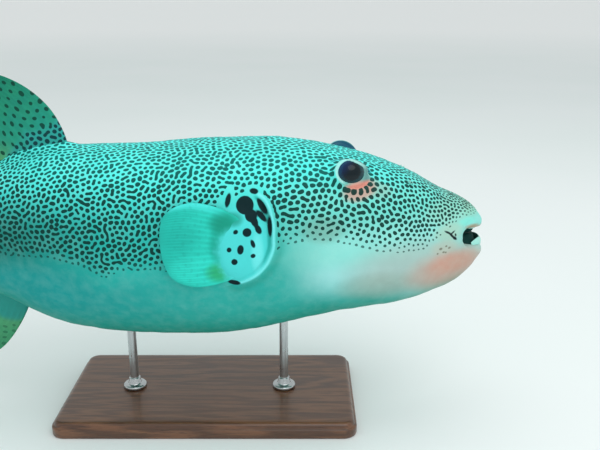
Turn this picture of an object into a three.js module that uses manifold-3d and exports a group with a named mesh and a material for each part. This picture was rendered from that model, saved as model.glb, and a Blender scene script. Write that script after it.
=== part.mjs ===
// A starry pufferfish (Arothron stellatus) at life size, swimming level, held by a display stand.
// Millimetres. +X runs to the head, +Z up, the fish's right side faces -Y. The origin is on the floor,
// under the middle of the whole model.
import * as THREE from "three";
import { mergeVertices } from "three/addons/utils/BufferGeometryUtils.js";
import Module from "manifold-3d";

const wasm = await Module();
wasm.setup();

// ---- driving sizes -------------------------------------------------------------------------------
const TOTAL_LENGTH = 740;
const BODY_LENGTH = 600; // snout to the root of the tail fin
const SNOUT_X = TOTAL_LENGTH / 2;
const AXIS_HEIGHT = 194; // body axis above the floor
const GAP = 0.3; // clearance between two pieces that meet

const GILL_BEHIND = 207; // the head ends at the gill opening
const TAIL_BEHIND = 470; // the tail starts under the end of the dorsal fin
const JAW_HINGE = { behind: 28, level: -2 }; // corner of the mouth

const EYE = { behind: 136.5, side: 46, level: 63.5, radius: 15 };
const EYE_AXIS = new THREE.Vector3(0.12, 0.93, 0.34).normalize(); // of the left eye
const BROW = { height: 2.5, reach: 21 }; // the low mound that carries each eye

const SKIN_SEGMENTS = 36;

// ---- materials -----------------------------------------------------------------------------------
const finish = (color, roughness, metalness = 0) =>
  new THREE.MeshStandardMaterial({ color, roughness, metalness });
const MATERIALS = {
  skin: finish(0x9fc9bd, 0.55),
  belly: finish(0xb7c7bd, 0.55),
  fin: finish(0x6fa58c, 0.5),
  eye: finish(0x10202c, 0.08),
  tooth: finish(0xe6e0cc, 0.3),
  wood: finish(0x4a3022, 0.45),
  steel: finish(0xb9bcbf, 0.3, 1),
};

// ---- meshes and solids ---------------------------------------------------------------------------
function meshGeometry(points, faces) {
  const geometry = new THREE.BufferGeometry();
  const flat = points.flatMap((p) => [p.x, p.y, p.z]);
  geometry.setAttribute("position", new THREE.Float32BufferAttribute(flat, 3));
  geometry.setIndex(faces.flat());
  return geometry;
}

function signedVolume({ vertProperties: v, triVerts: t }) {
  const corner = (i) => new THREE.Vector3(v[3 * t[i]], v[3 * t[i] + 1], v[3 * t[i] + 2]);
  let sum = 0;
  for (let i = 0; i < t.length; i += 3) {
    sum += corner(i).dot(corner(i + 1).cross(corner(i + 2)));
  }
  return sum / 6;
}

function solidOf(geometry) {
  const bare = geometry.clone();
  bare.deleteAttribute("normal");
  bare.deleteAttribute("uv");
  const merged = mergeVertices(bare, 1e-4);
  const arrays = {
    numProp: 3,
    vertProperties: new Float32Array(merged.attributes.position.array),
    triVerts: new Uint32Array(merged.index.array),
  };
  if (signedVolume(arrays) < 0) arrays.triVerts.reverse();
  return new wasm.Manifold(new wasm.Mesh(arrays));
}

function geometryOf(solid) {
  const { vertProperties, triVerts } = solid.getMesh();
  const geometry = new THREE.BufferGeometry();
  geometry.setAttribute("position", new THREE.BufferAttribute(new Float32Array(vertProperties), 3));
  geometry.setIndex(new THREE.BufferAttribute(new Uint32Array(triVerts), 1));
  return geometry;
}

// Joins closed rings of points into one body, closed at each end by a fan.
function loft(rings) {
  const count = rings[0].length;
  const points = rings.flat();
  const faces = [];
  for (let r = 0; r + 1 < rings.length; r++) {
    for (let i = 0; i < count; i++) {
      const a = r * count + i;
      const b = r * count + ((i + 1) % count);
      faces.push([a, b, a + count], [b, b + count, a + count]);
    }
  }
  const fan = (ring, start, order) => {
    const middle = new THREE.Vector3();
    ring.forEach((p) => middle.addScaledVector(p, 1 / count));
    points.push(middle);
    for (let i = 0; i < count; i++) {
      const rim = [start + i, start + ((i + 1) % count)];
      faces.push(order > 0 ? [rim[0], rim[1], points.length - 1] : [rim[1], rim[0], points.length - 1]);
    }
  };
  fan(rings[0], 0, -1);
  fan(rings[rings.length - 1], (rings.length - 1) * count, 1);
  return solidOf(meshGeometry(points, faces));
}

// A thin curved slab: front(w, r) and back(w, r) are its two faces for w and r from 0 to 1.
function slab(front, back, columns, rows) {
  const points = [];
  for (const face of [front, back]) {
    for (let j = 0; j <= rows; j++) {
      for (let i = 0; i <= columns; i++) points.push(face(i / columns, j / rows));
    }
  }
  const wide = columns + 1;
  const other = wide * (rows + 1);
  const faces = [];
  const quad = (a, b, c, d) => faces.push([a, b, c], [a, c, d]);
  for (let j = 0; j < rows; j++) {
    for (let i = 0; i < columns; i++) {
      const a = j * wide + i;
      quad(a, a + 1, a + 1 + wide, a + wide);
      quad(other + a, other + a + wide, other + a + 1 + wide, other + a + 1);
    }
    const left = j * wide;
    const right = left + columns;
    quad(left, left + wide, other + left + wide, other + left);
    quad(right, other + right, other + right + wide, right + wide);
  }
  for (let i = 0; i < columns; i++) {
    const far = rows * wide + i;
    quad(i, other + i, other + i + 1, i + 1);
    quad(far, far + 1, other + far + 1, other + far);
  }
  return solidOf(meshGeometry(points, faces));
}

const PRISM_WIDTH = 400; // more than the fish is wide

// A block whose outline lies in the XZ plane.
function prism(outline) {
  const shape = new THREE.Shape(outline.map(([x, z]) => new THREE.Vector2(x, z)));
  const geometry = new THREE.ExtrudeGeometry(shape, { depth: PRISM_WIDTH, bevelEnabled: false });
  geometry.rotateX(Math.PI / 2);
  geometry.translate(0, PRISM_WIDTH / 2, 0);
  return solidOf(geometry);
}

const place = (behind, side, level) => new THREE.Vector3(SNOUT_X - behind, side, AXIS_HEIGHT + level);

// ---- the body's form -----------------------------------------------------------------------------
// One section of the body: how far behind the snout its top, side and bottom lie, their levels from the
// body axis, its half width, and how square its upper and lower halves are (2 is an ellipse).
const bent = (top, side, bottom, square) => ({
  topBehind: top[0], top: top[1],
  sideBehind: side[0], halfWidth: side[1], side: side[2],
  bottomBehind: bottom[0], bottom: bottom[1],
  upper: square[0], lower: square[1],
});
const upright = (behind, top, halfWidth, side, bottom, upper, lower) =>
  bent([behind, top], [behind, halfWidth, side], [behind, bottom], [upper, lower]);

const SECTIONS = [
  bent([40, -4], [42, 5, -6], [40, -10], [2.2, 2.2]), // throat
  bent([20, 0.5], [33, 15, -3], [19, -14], [2.6, 2.6]),
  bent([7, 1], [28, 18, -1], [6, -15], [2.6, 2.6]), // inside of the lips
  bent([4, -0.8], [24.5, 20.5, -1], [3, -13.4], [2.6, 2.6]),
  bent([2, 3], [22, 24, -1], [0.2, -18], [2.4, 2.4]), // front of the lips
  bent([3.2, 9], [22, 27.5, -1.5], [2, -25.5], [2.3, 2.3]),
  bent([6.5, 16], [24, 30.5, -2.5], [6.5, -34.5], [2.2, 2.2]),
  bent([12, 22], [28.5, 34, -4], [13.5, -44.6], [2.2, 2.2]),
  bent([23, 29.5], [36, 38.6, -6], [25, -53.8], [2.2, 2.2]),
  bent([41, 36.8], [48, 45, -8], [43, -63.3], [2.3, 2.2]),
  bent([62, 48.8], [64, 52.3, -10], [63, -69.9], [2.5, 2.2]), // snout
  upright(90, 61.4, 61, -12, -76.5, 2.8, 2.2),
  upright(130, 73.3, 69.5, -12, -81, 3.1, 2.2), // eyes
  upright(175, 83.6, 76, -10, -90.4, 2.7, 2.2),
  upright(225, 87.5, 81, -8, -103.2, 2.4, 2.2), // fin roots
  upright(285, 85.8, 83, -8, -108.6, 2.2, 2.2), // deepest
  upright(350, 80.9, 79, -8, -107.3, 2.15, 2.2),
  upright(410, 80.1, 69.5, -6, -100, 2.1, 2.2),
  upright(465, 66.6, 57, -4, -75.8, 2.1, 2.1),
  upright(515, 48.5, 43, -4, -56.8, 2.05, 2.05),
  upright(560, 36.5, 30.5, -4, -44, 2, 2),
  upright(BODY_LENGTH, 30, 19, -3, -36, 2, 2),
];
const RINGS_BETWEEN = [1, 1, 1, 1, 1, 1, 1, 1, 1, 2, 2, 5, 4, 3, 3, 3, 2, 3, 3, 3, 2];

// Smooth, monotone curve through one measure of the sections, as a function of section number.
function through(values) {
  const steps = values.slice(1).map((v, i) => v - values[i]);
  const slopes = values.map((_, i) => {
    const [a, b] = [steps[i - 1] ?? steps[i], steps[i] ?? steps[i - 1]];
    return a * b > 0 ? (2 * a * b) / (a + b) : 0;
  });
  return (u) => {
    const i = Math.min(Math.floor(u), steps.length - 1);
    const f = u - i;
    const ease = f * f * (3 - 2 * f);
    const tangents = slopes[i] * f * (1 - f) ** 2 - slopes[i + 1] * f * f * (1 - f);
    return values[i] + ease * steps[i] + tangents;
  };
}
const FORM = Object.fromEntries(
  Object.keys(SECTIONS[0]).map((key) => [key, through(SECTIONS.map((section) => section[key]))]),
);

const signedPower = (value, power) => Math.sign(value) * Math.abs(value) ** power;

// A point of the body's surface in section u at the angle t, moved out by grow.
function bodyPoint(u, t, grow = 0) {
  const [c, s] = [Math.cos(t), Math.sin(t)];
  const raised = s > 0;
  const square = raised ? FORM.upper(u) : FORM.lower(u);
  const endBehind = raised ? FORM.topBehind(u) : FORM.bottomBehind(u);
  const middle = (FORM.top(u) + FORM.bottom(u)) / 2;
  const halfHeight = (FORM.top(u) - FORM.bottom(u)) / 2 + grow;
  const behind = FORM.sideBehind(u) + (endBehind - FORM.sideBehind(u)) * s * s;
  const level = FORM.side(u) + (middle - FORM.side(u)) * s * s + halfHeight * signedPower(s, 2 / square);
  const point = place(behind, (FORM.halfWidth(u) + grow) * signedPower(c, 2 / square), level);
  return raiseBrow(point);
}

const eyeCentre = (side) => place(EYE.behind, side * EYE.side, EYE.level);
const eyeAxis = (side) => new THREE.Vector3(EYE_AXIS.x, side * EYE_AXIS.y, EYE_AXIS.z);

function raiseBrow(point) {
  const side = point.y < 0 ? -1 : 1;
  const axis = eyeAxis(side);
  const offset = point.clone().sub(eyeCentre(side));
  const along = offset.dot(axis);
  if (along < -EYE.radius) return point;
  const away = offset.addScaledVector(axis, -along).length();
  return point.addScaledVector(axis, BROW.height * Math.exp(-((away / BROW.reach) ** 4)));
}

function bodyRing(u, grow) {
  const ring = [];
  for (let i = 0; i < SKIN_SEGMENTS; i++) {
    ring.push(bodyPoint(u, (i / SKIN_SEGMENTS) * 2 * Math.PI, grow));
  }
  return ring;
}

function bodySolid(grow = 0, firstSection = 0) {
  const rings = [];
  for (let section = firstSection; section < RINGS_BETWEEN.length; section++) {
    const count = RINGS_BETWEEN[section];
    for (let k = 0; k < count; k++) rings.push(bodyRing(section + k / count, grow));
  }
  rings.push(bodyRing(RINGS_BETWEEN.length, grow));
  return loft(rings);
}

// ---- fins ----------------------------------------------------------------------------------------
const spline = (points) => new THREE.SplineCurve(points.map(([a, b]) => new THREE.Vector2(a, b)));

// The patch inside four edges: the root, the leading edge, the outer margin and the trailing edge.
// w runs across the rays, r along them from the root to the margin.
function patch({ root, leading, margin, trailing }) {
  const [rootEdge, front, outer, rear] = [root, leading, margin, trailing].map(spline);
  return (w, r) => {
    const point = new THREE.Vector2();
    point.addScaledVector(front.getPoint(r), 1 - w);
    point.addScaledVector(rear.getPoint(r), w);
    point.addScaledVector(rootEdge.getPoint(w), 1 - r);
    point.addScaledVector(outer.getPoint(w), r);
    point.addScaledVector(front.getPoint(0), -(1 - w) * (1 - r));
    point.addScaledVector(front.getPoint(1), -(1 - w) * r);
    point.addScaledVector(rear.getPoint(0), -w * (1 - r));
    point.addScaledVector(rear.getPoint(1), -w * r);
    return point;
  };
}

// Half thicknesses of the fins: fleshy at the root, thin at the edges.
const FIN_ROOT = { median: 6, tail: 14, pectoral: 4 };
const FIN_EDGE = 0.5;
const FIN_GRID = [12, 8]; // columns and rows of faces

function finHalfThickness(w, r, root) {
  const across = (4 * w * (1 - w)) ** 0.5;
  return FIN_EDGE + (root - FIN_EDGE) * (1 - r) ** 1.7 * across;
}

// A fin in the fish's middle plane. Its edges are [X, level] points.
function medianFin(edges, root) {
  const outline = patch(edges);
  const face = (side) => (w, r) => {
    const { x, y: level } = outline(w, r);
    return new THREE.Vector3(x, side * finHalfThickness(w, r, root), AXIS_HEIGHT + level);
  };
  return slab(face(-1), face(1), ...FIN_GRID);
}

const DORSAL = {
  root: [[-33, 72], [-62, 62], [-90, 48]],
  leading: [[-33, 72], [-38, 94], [-49, 116], [-67, 134], [-89, 146], [-112, 151.5]],
  margin: [[-112, 151.5], [-129, 151], [-142, 142], [-149, 126], [-145, 106]],
  trailing: [[-90, 48], [-104, 58], [-122, 75], [-145, 106]],
};
const ANAL = {
  root: [[-82, -66], [-108, -56], [-134, -46]],
  leading: [[-82, -66], [-91, -90], [-103, -111], [-118, -130], [-137, -145]],
  margin: [[-137, -145], [-152, -151], [-165, -147], [-171, -134], [-168, -118]],
  trailing: [[-134, -46], [-141, -72], [-154, -96], [-168, -118]],
};
const TAIL_FIN = {
  root: [[-214, 25], [-214, -3], [-214, -31]],
  leading: [[-214, 25], [-262, 38], [-310, 53], [-344, 60]],
  margin: [[-344, 60], [-360, 49], [-368, 25], [-370, -3], [-368, -31], [-360, -55], [-344, -66]],
  trailing: [[-214, -31], [-262, -44], [-310, -59], [-344, -66]],
};

// The paired fins: [distance behind the root, level], laid along the flank and swung out.
const PECTORAL = {
  root: [[0, 36], [-2, 5], [0, -27]],
  leading: [[0, 36], [22, 42], [46, 44.5], [64, 41]],
  margin: [[64, 41], [76, 31], [81, 12], [80, -9], [73, -25], [62, -33]],
  trailing: [[0, -27], [20, -33], [42, -36], [62, -33]],
};
const PECTORAL_ROOT = { behind: 226, side: 78, level: 2 };
const PECTORAL_SWING = 0.2; // radians away from the flank
const PECTORAL_CUP = { height: 7, length: 84 }; // the blade bows outwards along its length
const PECTORAL_BEND = { depth: 9, level: 5, reach: 40 }; // and its edges bend back inwards

function pectoralFin(side) {
  const outline = patch(PECTORAL);
  const face = (outward) => (w, r) => {
    const { x: back, y: level } = outline(w, r);
    const half = finHalfThickness(w, r, FIN_ROOT.pectoral);
    const cup = PECTORAL_CUP.height * Math.sin(Math.PI * Math.min(1, back / PECTORAL_CUP.length));
    const bend = PECTORAL_BEND.depth * ((level - PECTORAL_BEND.level) / PECTORAL_BEND.reach) ** 2;
    const out = back * Math.sin(PECTORAL_SWING) + cup - bend + outward * half;
    const behind = PECTORAL_ROOT.behind + back * Math.cos(PECTORAL_SWING);
    return place(behind, side * (PECTORAL_ROOT.side + out), PECTORAL_ROOT.level + level);
  };
  return slab(face(1), face(-1), ...FIN_GRID);
}

// ---- eyes, teeth and nostrils --------------------------------------------------------------------
function eyeball(side, grow = 0) {
  const ball = new THREE.SphereGeometry(EYE.radius + grow, 16, 10);
  ball.rotateX(-Math.PI / 2);
  ball.lookAt(eyeAxis(side));
  const centre = eyeCentre(side);
  ball.translate(centre.x, centre.y, centre.z);
  return solidOf(ball);
}

// One tooth plate of the beak: a curved strip just inside the lip, from the middle line to one side.
const BEAK = { halfWidth: 14, curve: 9, thickness: 3, seam: 0.2, taper: 0.12, columns: 5 };
const UPPER_TEETH = { behind: 8, edge: -1.5, root: 8 };
const LOWER_TEETH = { behind: 6.5, edge: -11.5, root: -21 };

function toothPlate({ behind, edge, root }, side, grow = 0) {
  const face = (depth) => (w, r) => {
    const out = BEAK.seam - grow + (BEAK.halfWidth - BEAK.seam + 2 * grow) * w;
    const back = behind + BEAK.curve * (out / BEAK.halfWidth) ** 2 + depth;
    const stretch = Math.sign(edge - root) * grow;
    const level = root - stretch + (edge - root + 2 * stretch) * r * (1 - BEAK.taper * w * w);
    return place(back, side * out, level);
  };
  return slab(face(-grow), face(BEAK.thickness + grow), BEAK.columns, 1);
}

// The short forked flap that carries each nostril. It leans out from the upright.
const NOSTRIL = { behind: 77, side: 32.5, level: 48, height: 7, width: 6, thickness: 2, buried: 2.5 };
const NOSTRIL_TAPER = 0.25;
const NOSTRIL_NOTCH = { depth: 0.35, width: 0.16 };
const NOSTRIL_LEAN = { out: 0.55, up: 0.8 };

function nostrilFlap(side) {
  const { behind, height, width, thickness, buried } = NOSTRIL;
  const { out, up } = NOSTRIL_LEAN;
  const face = (depth) => (w, r) => {
    const notch = 1 - NOSTRIL_NOTCH.depth * Math.exp(-(((w - 0.5) / NOSTRIL_NOTCH.width) ** 2));
    const across = (w - 0.5) * width * (1 - NOSTRIL_TAPER * r);
    const risen = height * r * notch - buried;
    return place(
      behind + across,
      side * (NOSTRIL.side + risen * out + depth * up),
      NOSTRIL.level + risen * up - depth * out,
    );
  };
  return slab(face(-thickness / 2), face(thickness / 2), 6, 2);
}

// ---- stand ---------------------------------------------------------------------------------------
const STAND = { length: 300, width: 156, thickness: 15, corner: 14, bevel: 2.5, x: 95 };
const ROD = { radius: 4.5, footRadius: 12, footHeight: 4, topBelowAxis: 80 };
const ROD_PLACES = { front: 172, rear: 14 };

function standBase() {
  const { length, width, thickness, corner, bevel } = STAND;
  const [a, b] = [length / 2 - bevel, width / 2 - bevel];
  const shape = new THREE.Shape();
  shape.absarc(a - corner, b - corner, corner, 0, Math.PI / 2);
  shape.absarc(corner - a, b - corner, corner, Math.PI / 2, Math.PI);
  shape.absarc(corner - a, corner - b, corner, Math.PI, 1.5 * Math.PI);
  shape.absarc(a - corner, corner - b, corner, 1.5 * Math.PI, 2 * Math.PI);
  const geometry = new THREE.ExtrudeGeometry(shape, {
    depth: thickness - 2 * bevel,
    bevelThickness: bevel,
    bevelSize: bevel,
    bevelSegments: 2,
    curveSegments: 4,
  });
  geometry.translate(STAND.x, 0, bevel);
  return solidOf(geometry);
}

function standRod(x) {
  const { radius, footRadius, footHeight } = ROD;
  const top = AXIS_HEIGHT - ROD.topBelowAxis;
  const profile = [
    [0, 0], [footRadius, 0], [footRadius, footHeight - 1], [footRadius - 1, footHeight],
    [radius + 2, footHeight], [radius, footHeight + 3], [radius, top], [0, top],
  ];
  const geometry = new THREE.LatheGeometry(profile.map(([r, y]) => new THREE.Vector2(r, y)), 16);
  geometry.rotateX(Math.PI / 2);
  geometry.translate(x, 0, STAND.thickness + GAP);
  return solidOf(geometry);
}

// ---- cutting the body into its parts -------------------------------------------------------------
const [LOW, HIGH] = [-100, 500];
const BEYOND = 20; // how far the cuts reach past either end of the body
const JAW_CUT = { rise: -9, bottom: -150, slant: 96 };
const slice = (fromBehind, toBehind) => {
  const [x0, x1] = [SNOUT_X - toBehind, SNOUT_X - fromBehind];
  return prism([[x0, LOW], [x1, LOW], [x1, HIGH], [x0, HIGH]]);
};

// Everything in front of and below the mouth's corner.
function jawWedge(shift) {
  const { behind, level } = JAW_HINGE;
  const { rise, bottom, slant } = JAW_CUT;
  const outline = [[behind, level], [-BEYOND, level + rise], [-BEYOND, bottom], [behind + slant, bottom]];
  return prism(outline.map(([back, z]) => [SNOUT_X - back - shift, AXIS_HEIGHT + z + shift]).reverse());
}

const body = bodySolid();
const LIP_SECTION = 4; // the clearance body leaves out the hollow of the mouth
const bodyClearance = bodySolid(GAP, LIP_SECTION);
const eyes = [-1, 1].map((side) => eyeball(side));
const TOOTH_ROWS = { upper: UPPER_TEETH, lower: LOWER_TEETH };

let flesh = body;
for (const side of [-1, 1]) {
  flesh = flesh.subtract(eyeball(side, GAP));
  for (const row of Object.values(TOOTH_ROWS)) flesh = flesh.subtract(toothPlate(row, side, GAP));
}

// ---- the finished model --------------------------------------------------------------------------
const group = new THREE.Group();
function add(name, solid, material) {
  const mesh = new THREE.Mesh(geometryOf(solid), material);
  mesh.name = name;
  group.add(mesh);
}

const sideNames = [["right", -1], ["left", 1]];
const headAndJaw = flesh.intersect(slice(-BEYOND, GILL_BEHIND));
add("head", headAndJaw.subtract(jawWedge(GAP)), MATERIALS.skin);
add("lower_jaw", headAndJaw.intersect(jawWedge(0)), MATERIALS.belly);
add("trunk", flesh.intersect(slice(GILL_BEHIND + GAP, TAIL_BEHIND)), MATERIALS.skin);
add("tail", flesh.intersect(slice(TAIL_BEHIND + GAP, BODY_LENGTH + BEYOND)), MATERIALS.skin);
add("dorsal_fin", medianFin(DORSAL, FIN_ROOT.median).subtract(bodyClearance), MATERIALS.fin);
add("anal_fin", medianFin(ANAL, FIN_ROOT.median).subtract(bodyClearance), MATERIALS.fin);
add("tail_fin", medianFin(TAIL_FIN, FIN_ROOT.tail).subtract(bodyClearance), MATERIALS.fin);
for (const [name, side] of sideNames) {
  add(`pectoral_fin_${name}`, pectoralFin(side).subtract(bodyClearance), MATERIALS.fin);
  add(`eye_${name}`, eyes[side < 0 ? 0 : 1], MATERIALS.eye);
  add(`nostril_${name}`, nostrilFlap(side).subtract(bodyClearance), MATERIALS.skin);
  for (const [jaw, row] of Object.entries(TOOTH_ROWS)) {
    add(`tooth_${jaw}_${name}`, toothPlate(row, side), MATERIALS.tooth);
  }
}
add("stand_base", standBase(), MATERIALS.wood);
for (const [name, x] of Object.entries(ROD_PLACES)) {
  add(`stand_rod_${name}`, standRod(x).subtract(bodyClearance), MATERIALS.steel);
}

export default group;
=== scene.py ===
# The looks of a starry pufferfish model on its display stand.
# The fish is worked out in millimetres as (behind, side, level): the distance behind the snout, the
# distance from the middle plane (the fish's right side is negative) and the height above the body axis.
import math

import bpy
import numpy as np
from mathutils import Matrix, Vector


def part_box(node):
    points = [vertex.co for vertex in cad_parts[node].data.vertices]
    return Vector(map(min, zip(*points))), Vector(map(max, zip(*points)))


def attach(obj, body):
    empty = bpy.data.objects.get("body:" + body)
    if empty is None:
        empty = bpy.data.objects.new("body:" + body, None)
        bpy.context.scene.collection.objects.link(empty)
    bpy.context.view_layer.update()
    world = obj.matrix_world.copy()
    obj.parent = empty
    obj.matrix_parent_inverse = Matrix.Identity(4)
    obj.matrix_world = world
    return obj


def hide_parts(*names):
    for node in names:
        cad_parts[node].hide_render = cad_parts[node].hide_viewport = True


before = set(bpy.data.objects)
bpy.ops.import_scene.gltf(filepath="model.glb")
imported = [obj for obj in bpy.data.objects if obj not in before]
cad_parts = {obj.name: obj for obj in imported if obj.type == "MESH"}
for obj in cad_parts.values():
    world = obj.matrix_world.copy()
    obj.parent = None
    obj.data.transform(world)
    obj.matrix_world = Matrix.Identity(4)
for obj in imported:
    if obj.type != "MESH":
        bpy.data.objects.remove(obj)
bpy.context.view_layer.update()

MM = 0.001
EYE_LEVEL = 63.5  # of the right eye's middle
SNOUT = -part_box("tail_fin")[0].x / MM
SIDE_NAMES = {-1: "right", 1: "left"}
EYE_BOXES = {side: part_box(f"eye_{name}") for side, name in SIDE_NAMES.items()}
AXIS = (EYE_BOXES[-1][0].z + EYE_BOXES[-1][1].z) / (2 * MM) - EYE_LEVEL

# ---- body ----
BODY_ROWS = 660
BODY_COLUMNS = 640
BODY_LENGTH = 600
THROAT_END = 3.7  # section number just inside the front of the lips
THROAT_ROWS = 0.45  # how many rows the throat gets for its size, against the rest

# topBehind, top, sideBehind, halfWidth, side, bottomBehind, bottom, upper and lower squareness
SECTIONS = [
    (9.5, -4.2, 33, 15, -5.5, 9.5, -6.8, 2.4, 2.4),  # back of the mouth, almost closed
    (8.5, 0.5, 32, 17, -5, 8.5, -11, 3.4, 3.4),
    (6.8, 3.4, 30.5, 18.5, -5, 6.2, -16, 4.2, 4.4),  # inside of the lips
    (4, 2.6, 28.5, 20.5, -5, 3.5, -17, 4.6, 4.8),
    (2, 5.2, 26, 24, -4.5, 0.6, -20.6, 3.4, 3.4),  # front of the lips
    (3.2, 10.2, 25, 27.5, -4, 1.8, -26.6, 2.8, 2.7),
    (6.5, 16.3, 25.5, 30.5, -3.5, 6, -35, 2.4, 2.4),
    (12, 22, 28.5, 34, -4, 13.5, -44.6, 2.2, 2.2),
    (23, 29.5, 36, 38.6, -6, 25, -53.8, 2.2, 2.2),
    (41, 36.8, 48, 45, -8, 43, -63.3, 2.3, 2.2),
    (62, 48.8, 64, 52.3, -10, 63, -69.9, 2.5, 2.2),  # snout
]


def upright(behind, top, half_width, side, bottom, upper, lower):
    return (behind, top, behind, half_width, side, behind, bottom, upper, lower)


SECTIONS += [
    upright(90, 61.4, 61, -12, -76.5, 2.8, 2.2),
    upright(130, 73.3, 69.5, -12, -81, 3.1, 2.2),  # eyes
    upright(175, 83.6, 76, -10, -90.4, 2.7, 2.2),
    upright(225, 87.5, 81, -8, -103.2, 2.4, 2.2),  # fin roots
    upright(285, 85.8, 83, -8, -108.6, 2.2, 2.2),  # deepest
    upright(350, 80.9, 79, -8, -107.3, 2.15, 2.2),
    upright(410, 80.1, 69.5, -6, -100, 2.1, 2.2),
    upright(465, 66.6, 57, -4, -75.8, 2.1, 2.1),
    upright(515, 48.5, 43, -4, -56.8, 2.05, 2.05),
    upright(560, 36.5, 30.5, -4, -44, 2, 2),
    upright(BODY_LENGTH, 30, 19, -3, -36, 2, 2),
    upright(622, 29, 8.5, -3, -35, 2, 2),  # runs out inside the tail fin
    upright(640, 26, 1.5, -3, -32, 2, 2),
]
TOP_BEHIND, TOP, SIDE_BEHIND, HALF_WIDTH, SIDE, BOTTOM_BEHIND, BOTTOM, UPPER, LOWER = range(9)
GUIDE_STEPS = 100  # samples of the guide curves between two sections
GUIDE_BLUR = 0.2  # of a section


def through(values, u):
    """Monotone cubic through one value a section, at the section numbers u."""
    values = np.asarray(values, float)
    steps = np.diff(values)
    before = np.concatenate([steps[:1], steps])
    after = np.concatenate([steps, steps[-1:]])
    product = before * after
    slopes = np.where(product > 0, 2 * product / np.where(product > 0, before + after, 1), 0)
    i = np.minimum(u.astype(int), len(steps) - 1)
    f = u - i
    bend = slopes[i] * f * (1 - f) ** 2 - slopes[i + 1] * f * f * (1 - f)
    return values[i] + f * f * (3 - 2 * f) * steps[i] + bend


def gaussian_blur(rows, sigma):
    """Blurs along the first axis, with the ends carried on in a straight line."""
    reach = int(3 * sigma) + 1
    kernel = np.exp(-0.5 * (np.arange(-reach, reach + 1) / sigma) ** 2)
    kernel /= kernel.sum()
    steps = np.arange(reach, 0, -1)[:, None]
    head = rows[:1] - steps * (rows[1:2] - rows[:1])
    tail = rows[-1:] + steps[::-1] * (rows[-1:] - rows[-2:-1])
    padded = np.concatenate([head, rows, tail])
    return np.stack([np.convolve(column, kernel, "valid") for column in padded.T], axis=1)


GUIDE_U = np.arange((len(SECTIONS) - 1) * GUIDE_STEPS + 1) / GUIDE_STEPS
GUIDES = gaussian_blur(
    np.stack([through(column, GUIDE_U) for column in zip(*SECTIONS)], axis=1),
    GUIDE_BLUR * GUIDE_STEPS,
)


def guide(u):
    return [np.interp(u, GUIDE_U, GUIDES[:, k])[:, None] for k in range(GUIDES.shape[1])]


def signed_power(value, power):
    return np.sign(value) * np.abs(value) ** power


def body_points(u, angles):
    """Points of the body's surface: a row for each section number, a column for each angle."""
    form = guide(u)
    c, s = np.cos(angles)[None], np.sin(angles)[None]
    square = np.where(s > 0, form[UPPER], form[LOWER])
    end_behind = np.where(s > 0, form[TOP_BEHIND], form[BOTTOM_BEHIND])
    middle = (form[TOP] + form[BOTTOM]) / 2
    half_height = (form[TOP] - form[BOTTOM]) / 2
    behind = form[SIDE_BEHIND] + (end_behind - form[SIDE_BEHIND]) * s * s
    side = form[HALF_WIDTH] * signed_power(c, 2 / square)
    level = form[SIDE] + (middle - form[SIDE]) * s * s + half_height * signed_power(s, 2 / square)
    return np.stack([behind, side, level], axis=-1)


# ---- spots ----
SPOT_PITCH = [(0, 4.0), (60, 5.0), (110, 6.3), (200, 6.4), (260, 5.9), (450, 5.6), (600, 4.8)]
ROW_SAMPLES = 4000  # samples along the body, to space the rows by
COARSE_RING = 48  # points round each of those samples
RING_SAMPLES = 2401  # samples round a ring, to space its points by


def through_places(places, x):
    """Value at x of a line drawn through places, each a pair of x and value."""
    return np.interp(x, *zip(*places))


def full_turn(count):
    return np.linspace(0, 2 * np.pi, count, endpoint=False)


def body_rows(count):
    """Section numbers whose rings lie as close together as the spots there need."""
    u = np.linspace(0, len(SECTIONS) - 1, ROW_SAMPLES)
    rings = body_points(u, full_turn(COARSE_RING))
    step = lengths(np.diff(rings, axis=0)).mean(axis=1)
    behind = rings[1:, :, 0].mean(axis=1)
    weight = step / through_places(SPOT_PITCH, behind)
    weight *= np.where(u[1:] < THROAT_END, THROAT_ROWS, 1.0)
    total = np.concatenate([[0], np.cumsum(weight)])
    return np.interp(np.linspace(0, total[-1], count), total, u)


def even_rings(u, columns):
    """The body's rings, each with its points evenly spaced, starting under the belly."""
    angles = np.linspace(-np.pi / 2, 1.5 * np.pi, RING_SAMPLES)
    dense = body_points(u, angles)
    steps = lengths(np.diff(dense, axis=1))
    rings = np.empty((len(u), columns, 3))
    for row, step in enumerate(steps):
        run = np.concatenate([[0], np.cumsum(step)])
        wanted = np.arange(columns) * run[-1] / columns
        for k in range(3):
            rings[row, :, k] = np.interp(wanted, run, dense[row, :, k])
    return rings


SPOT_SEED = 7
SPOT_ROUNDS = 34
NARROW = 0.15  # blur of the first smoothing, as a share of the pitch
WIDE = 1.6 * NARROW
CONTRAST = 2.2 / 0.3335  # the second number is the largest answer of the two blurs
TAP_REACH = 2.6  # of the blur, in either direction along the rows


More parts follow.
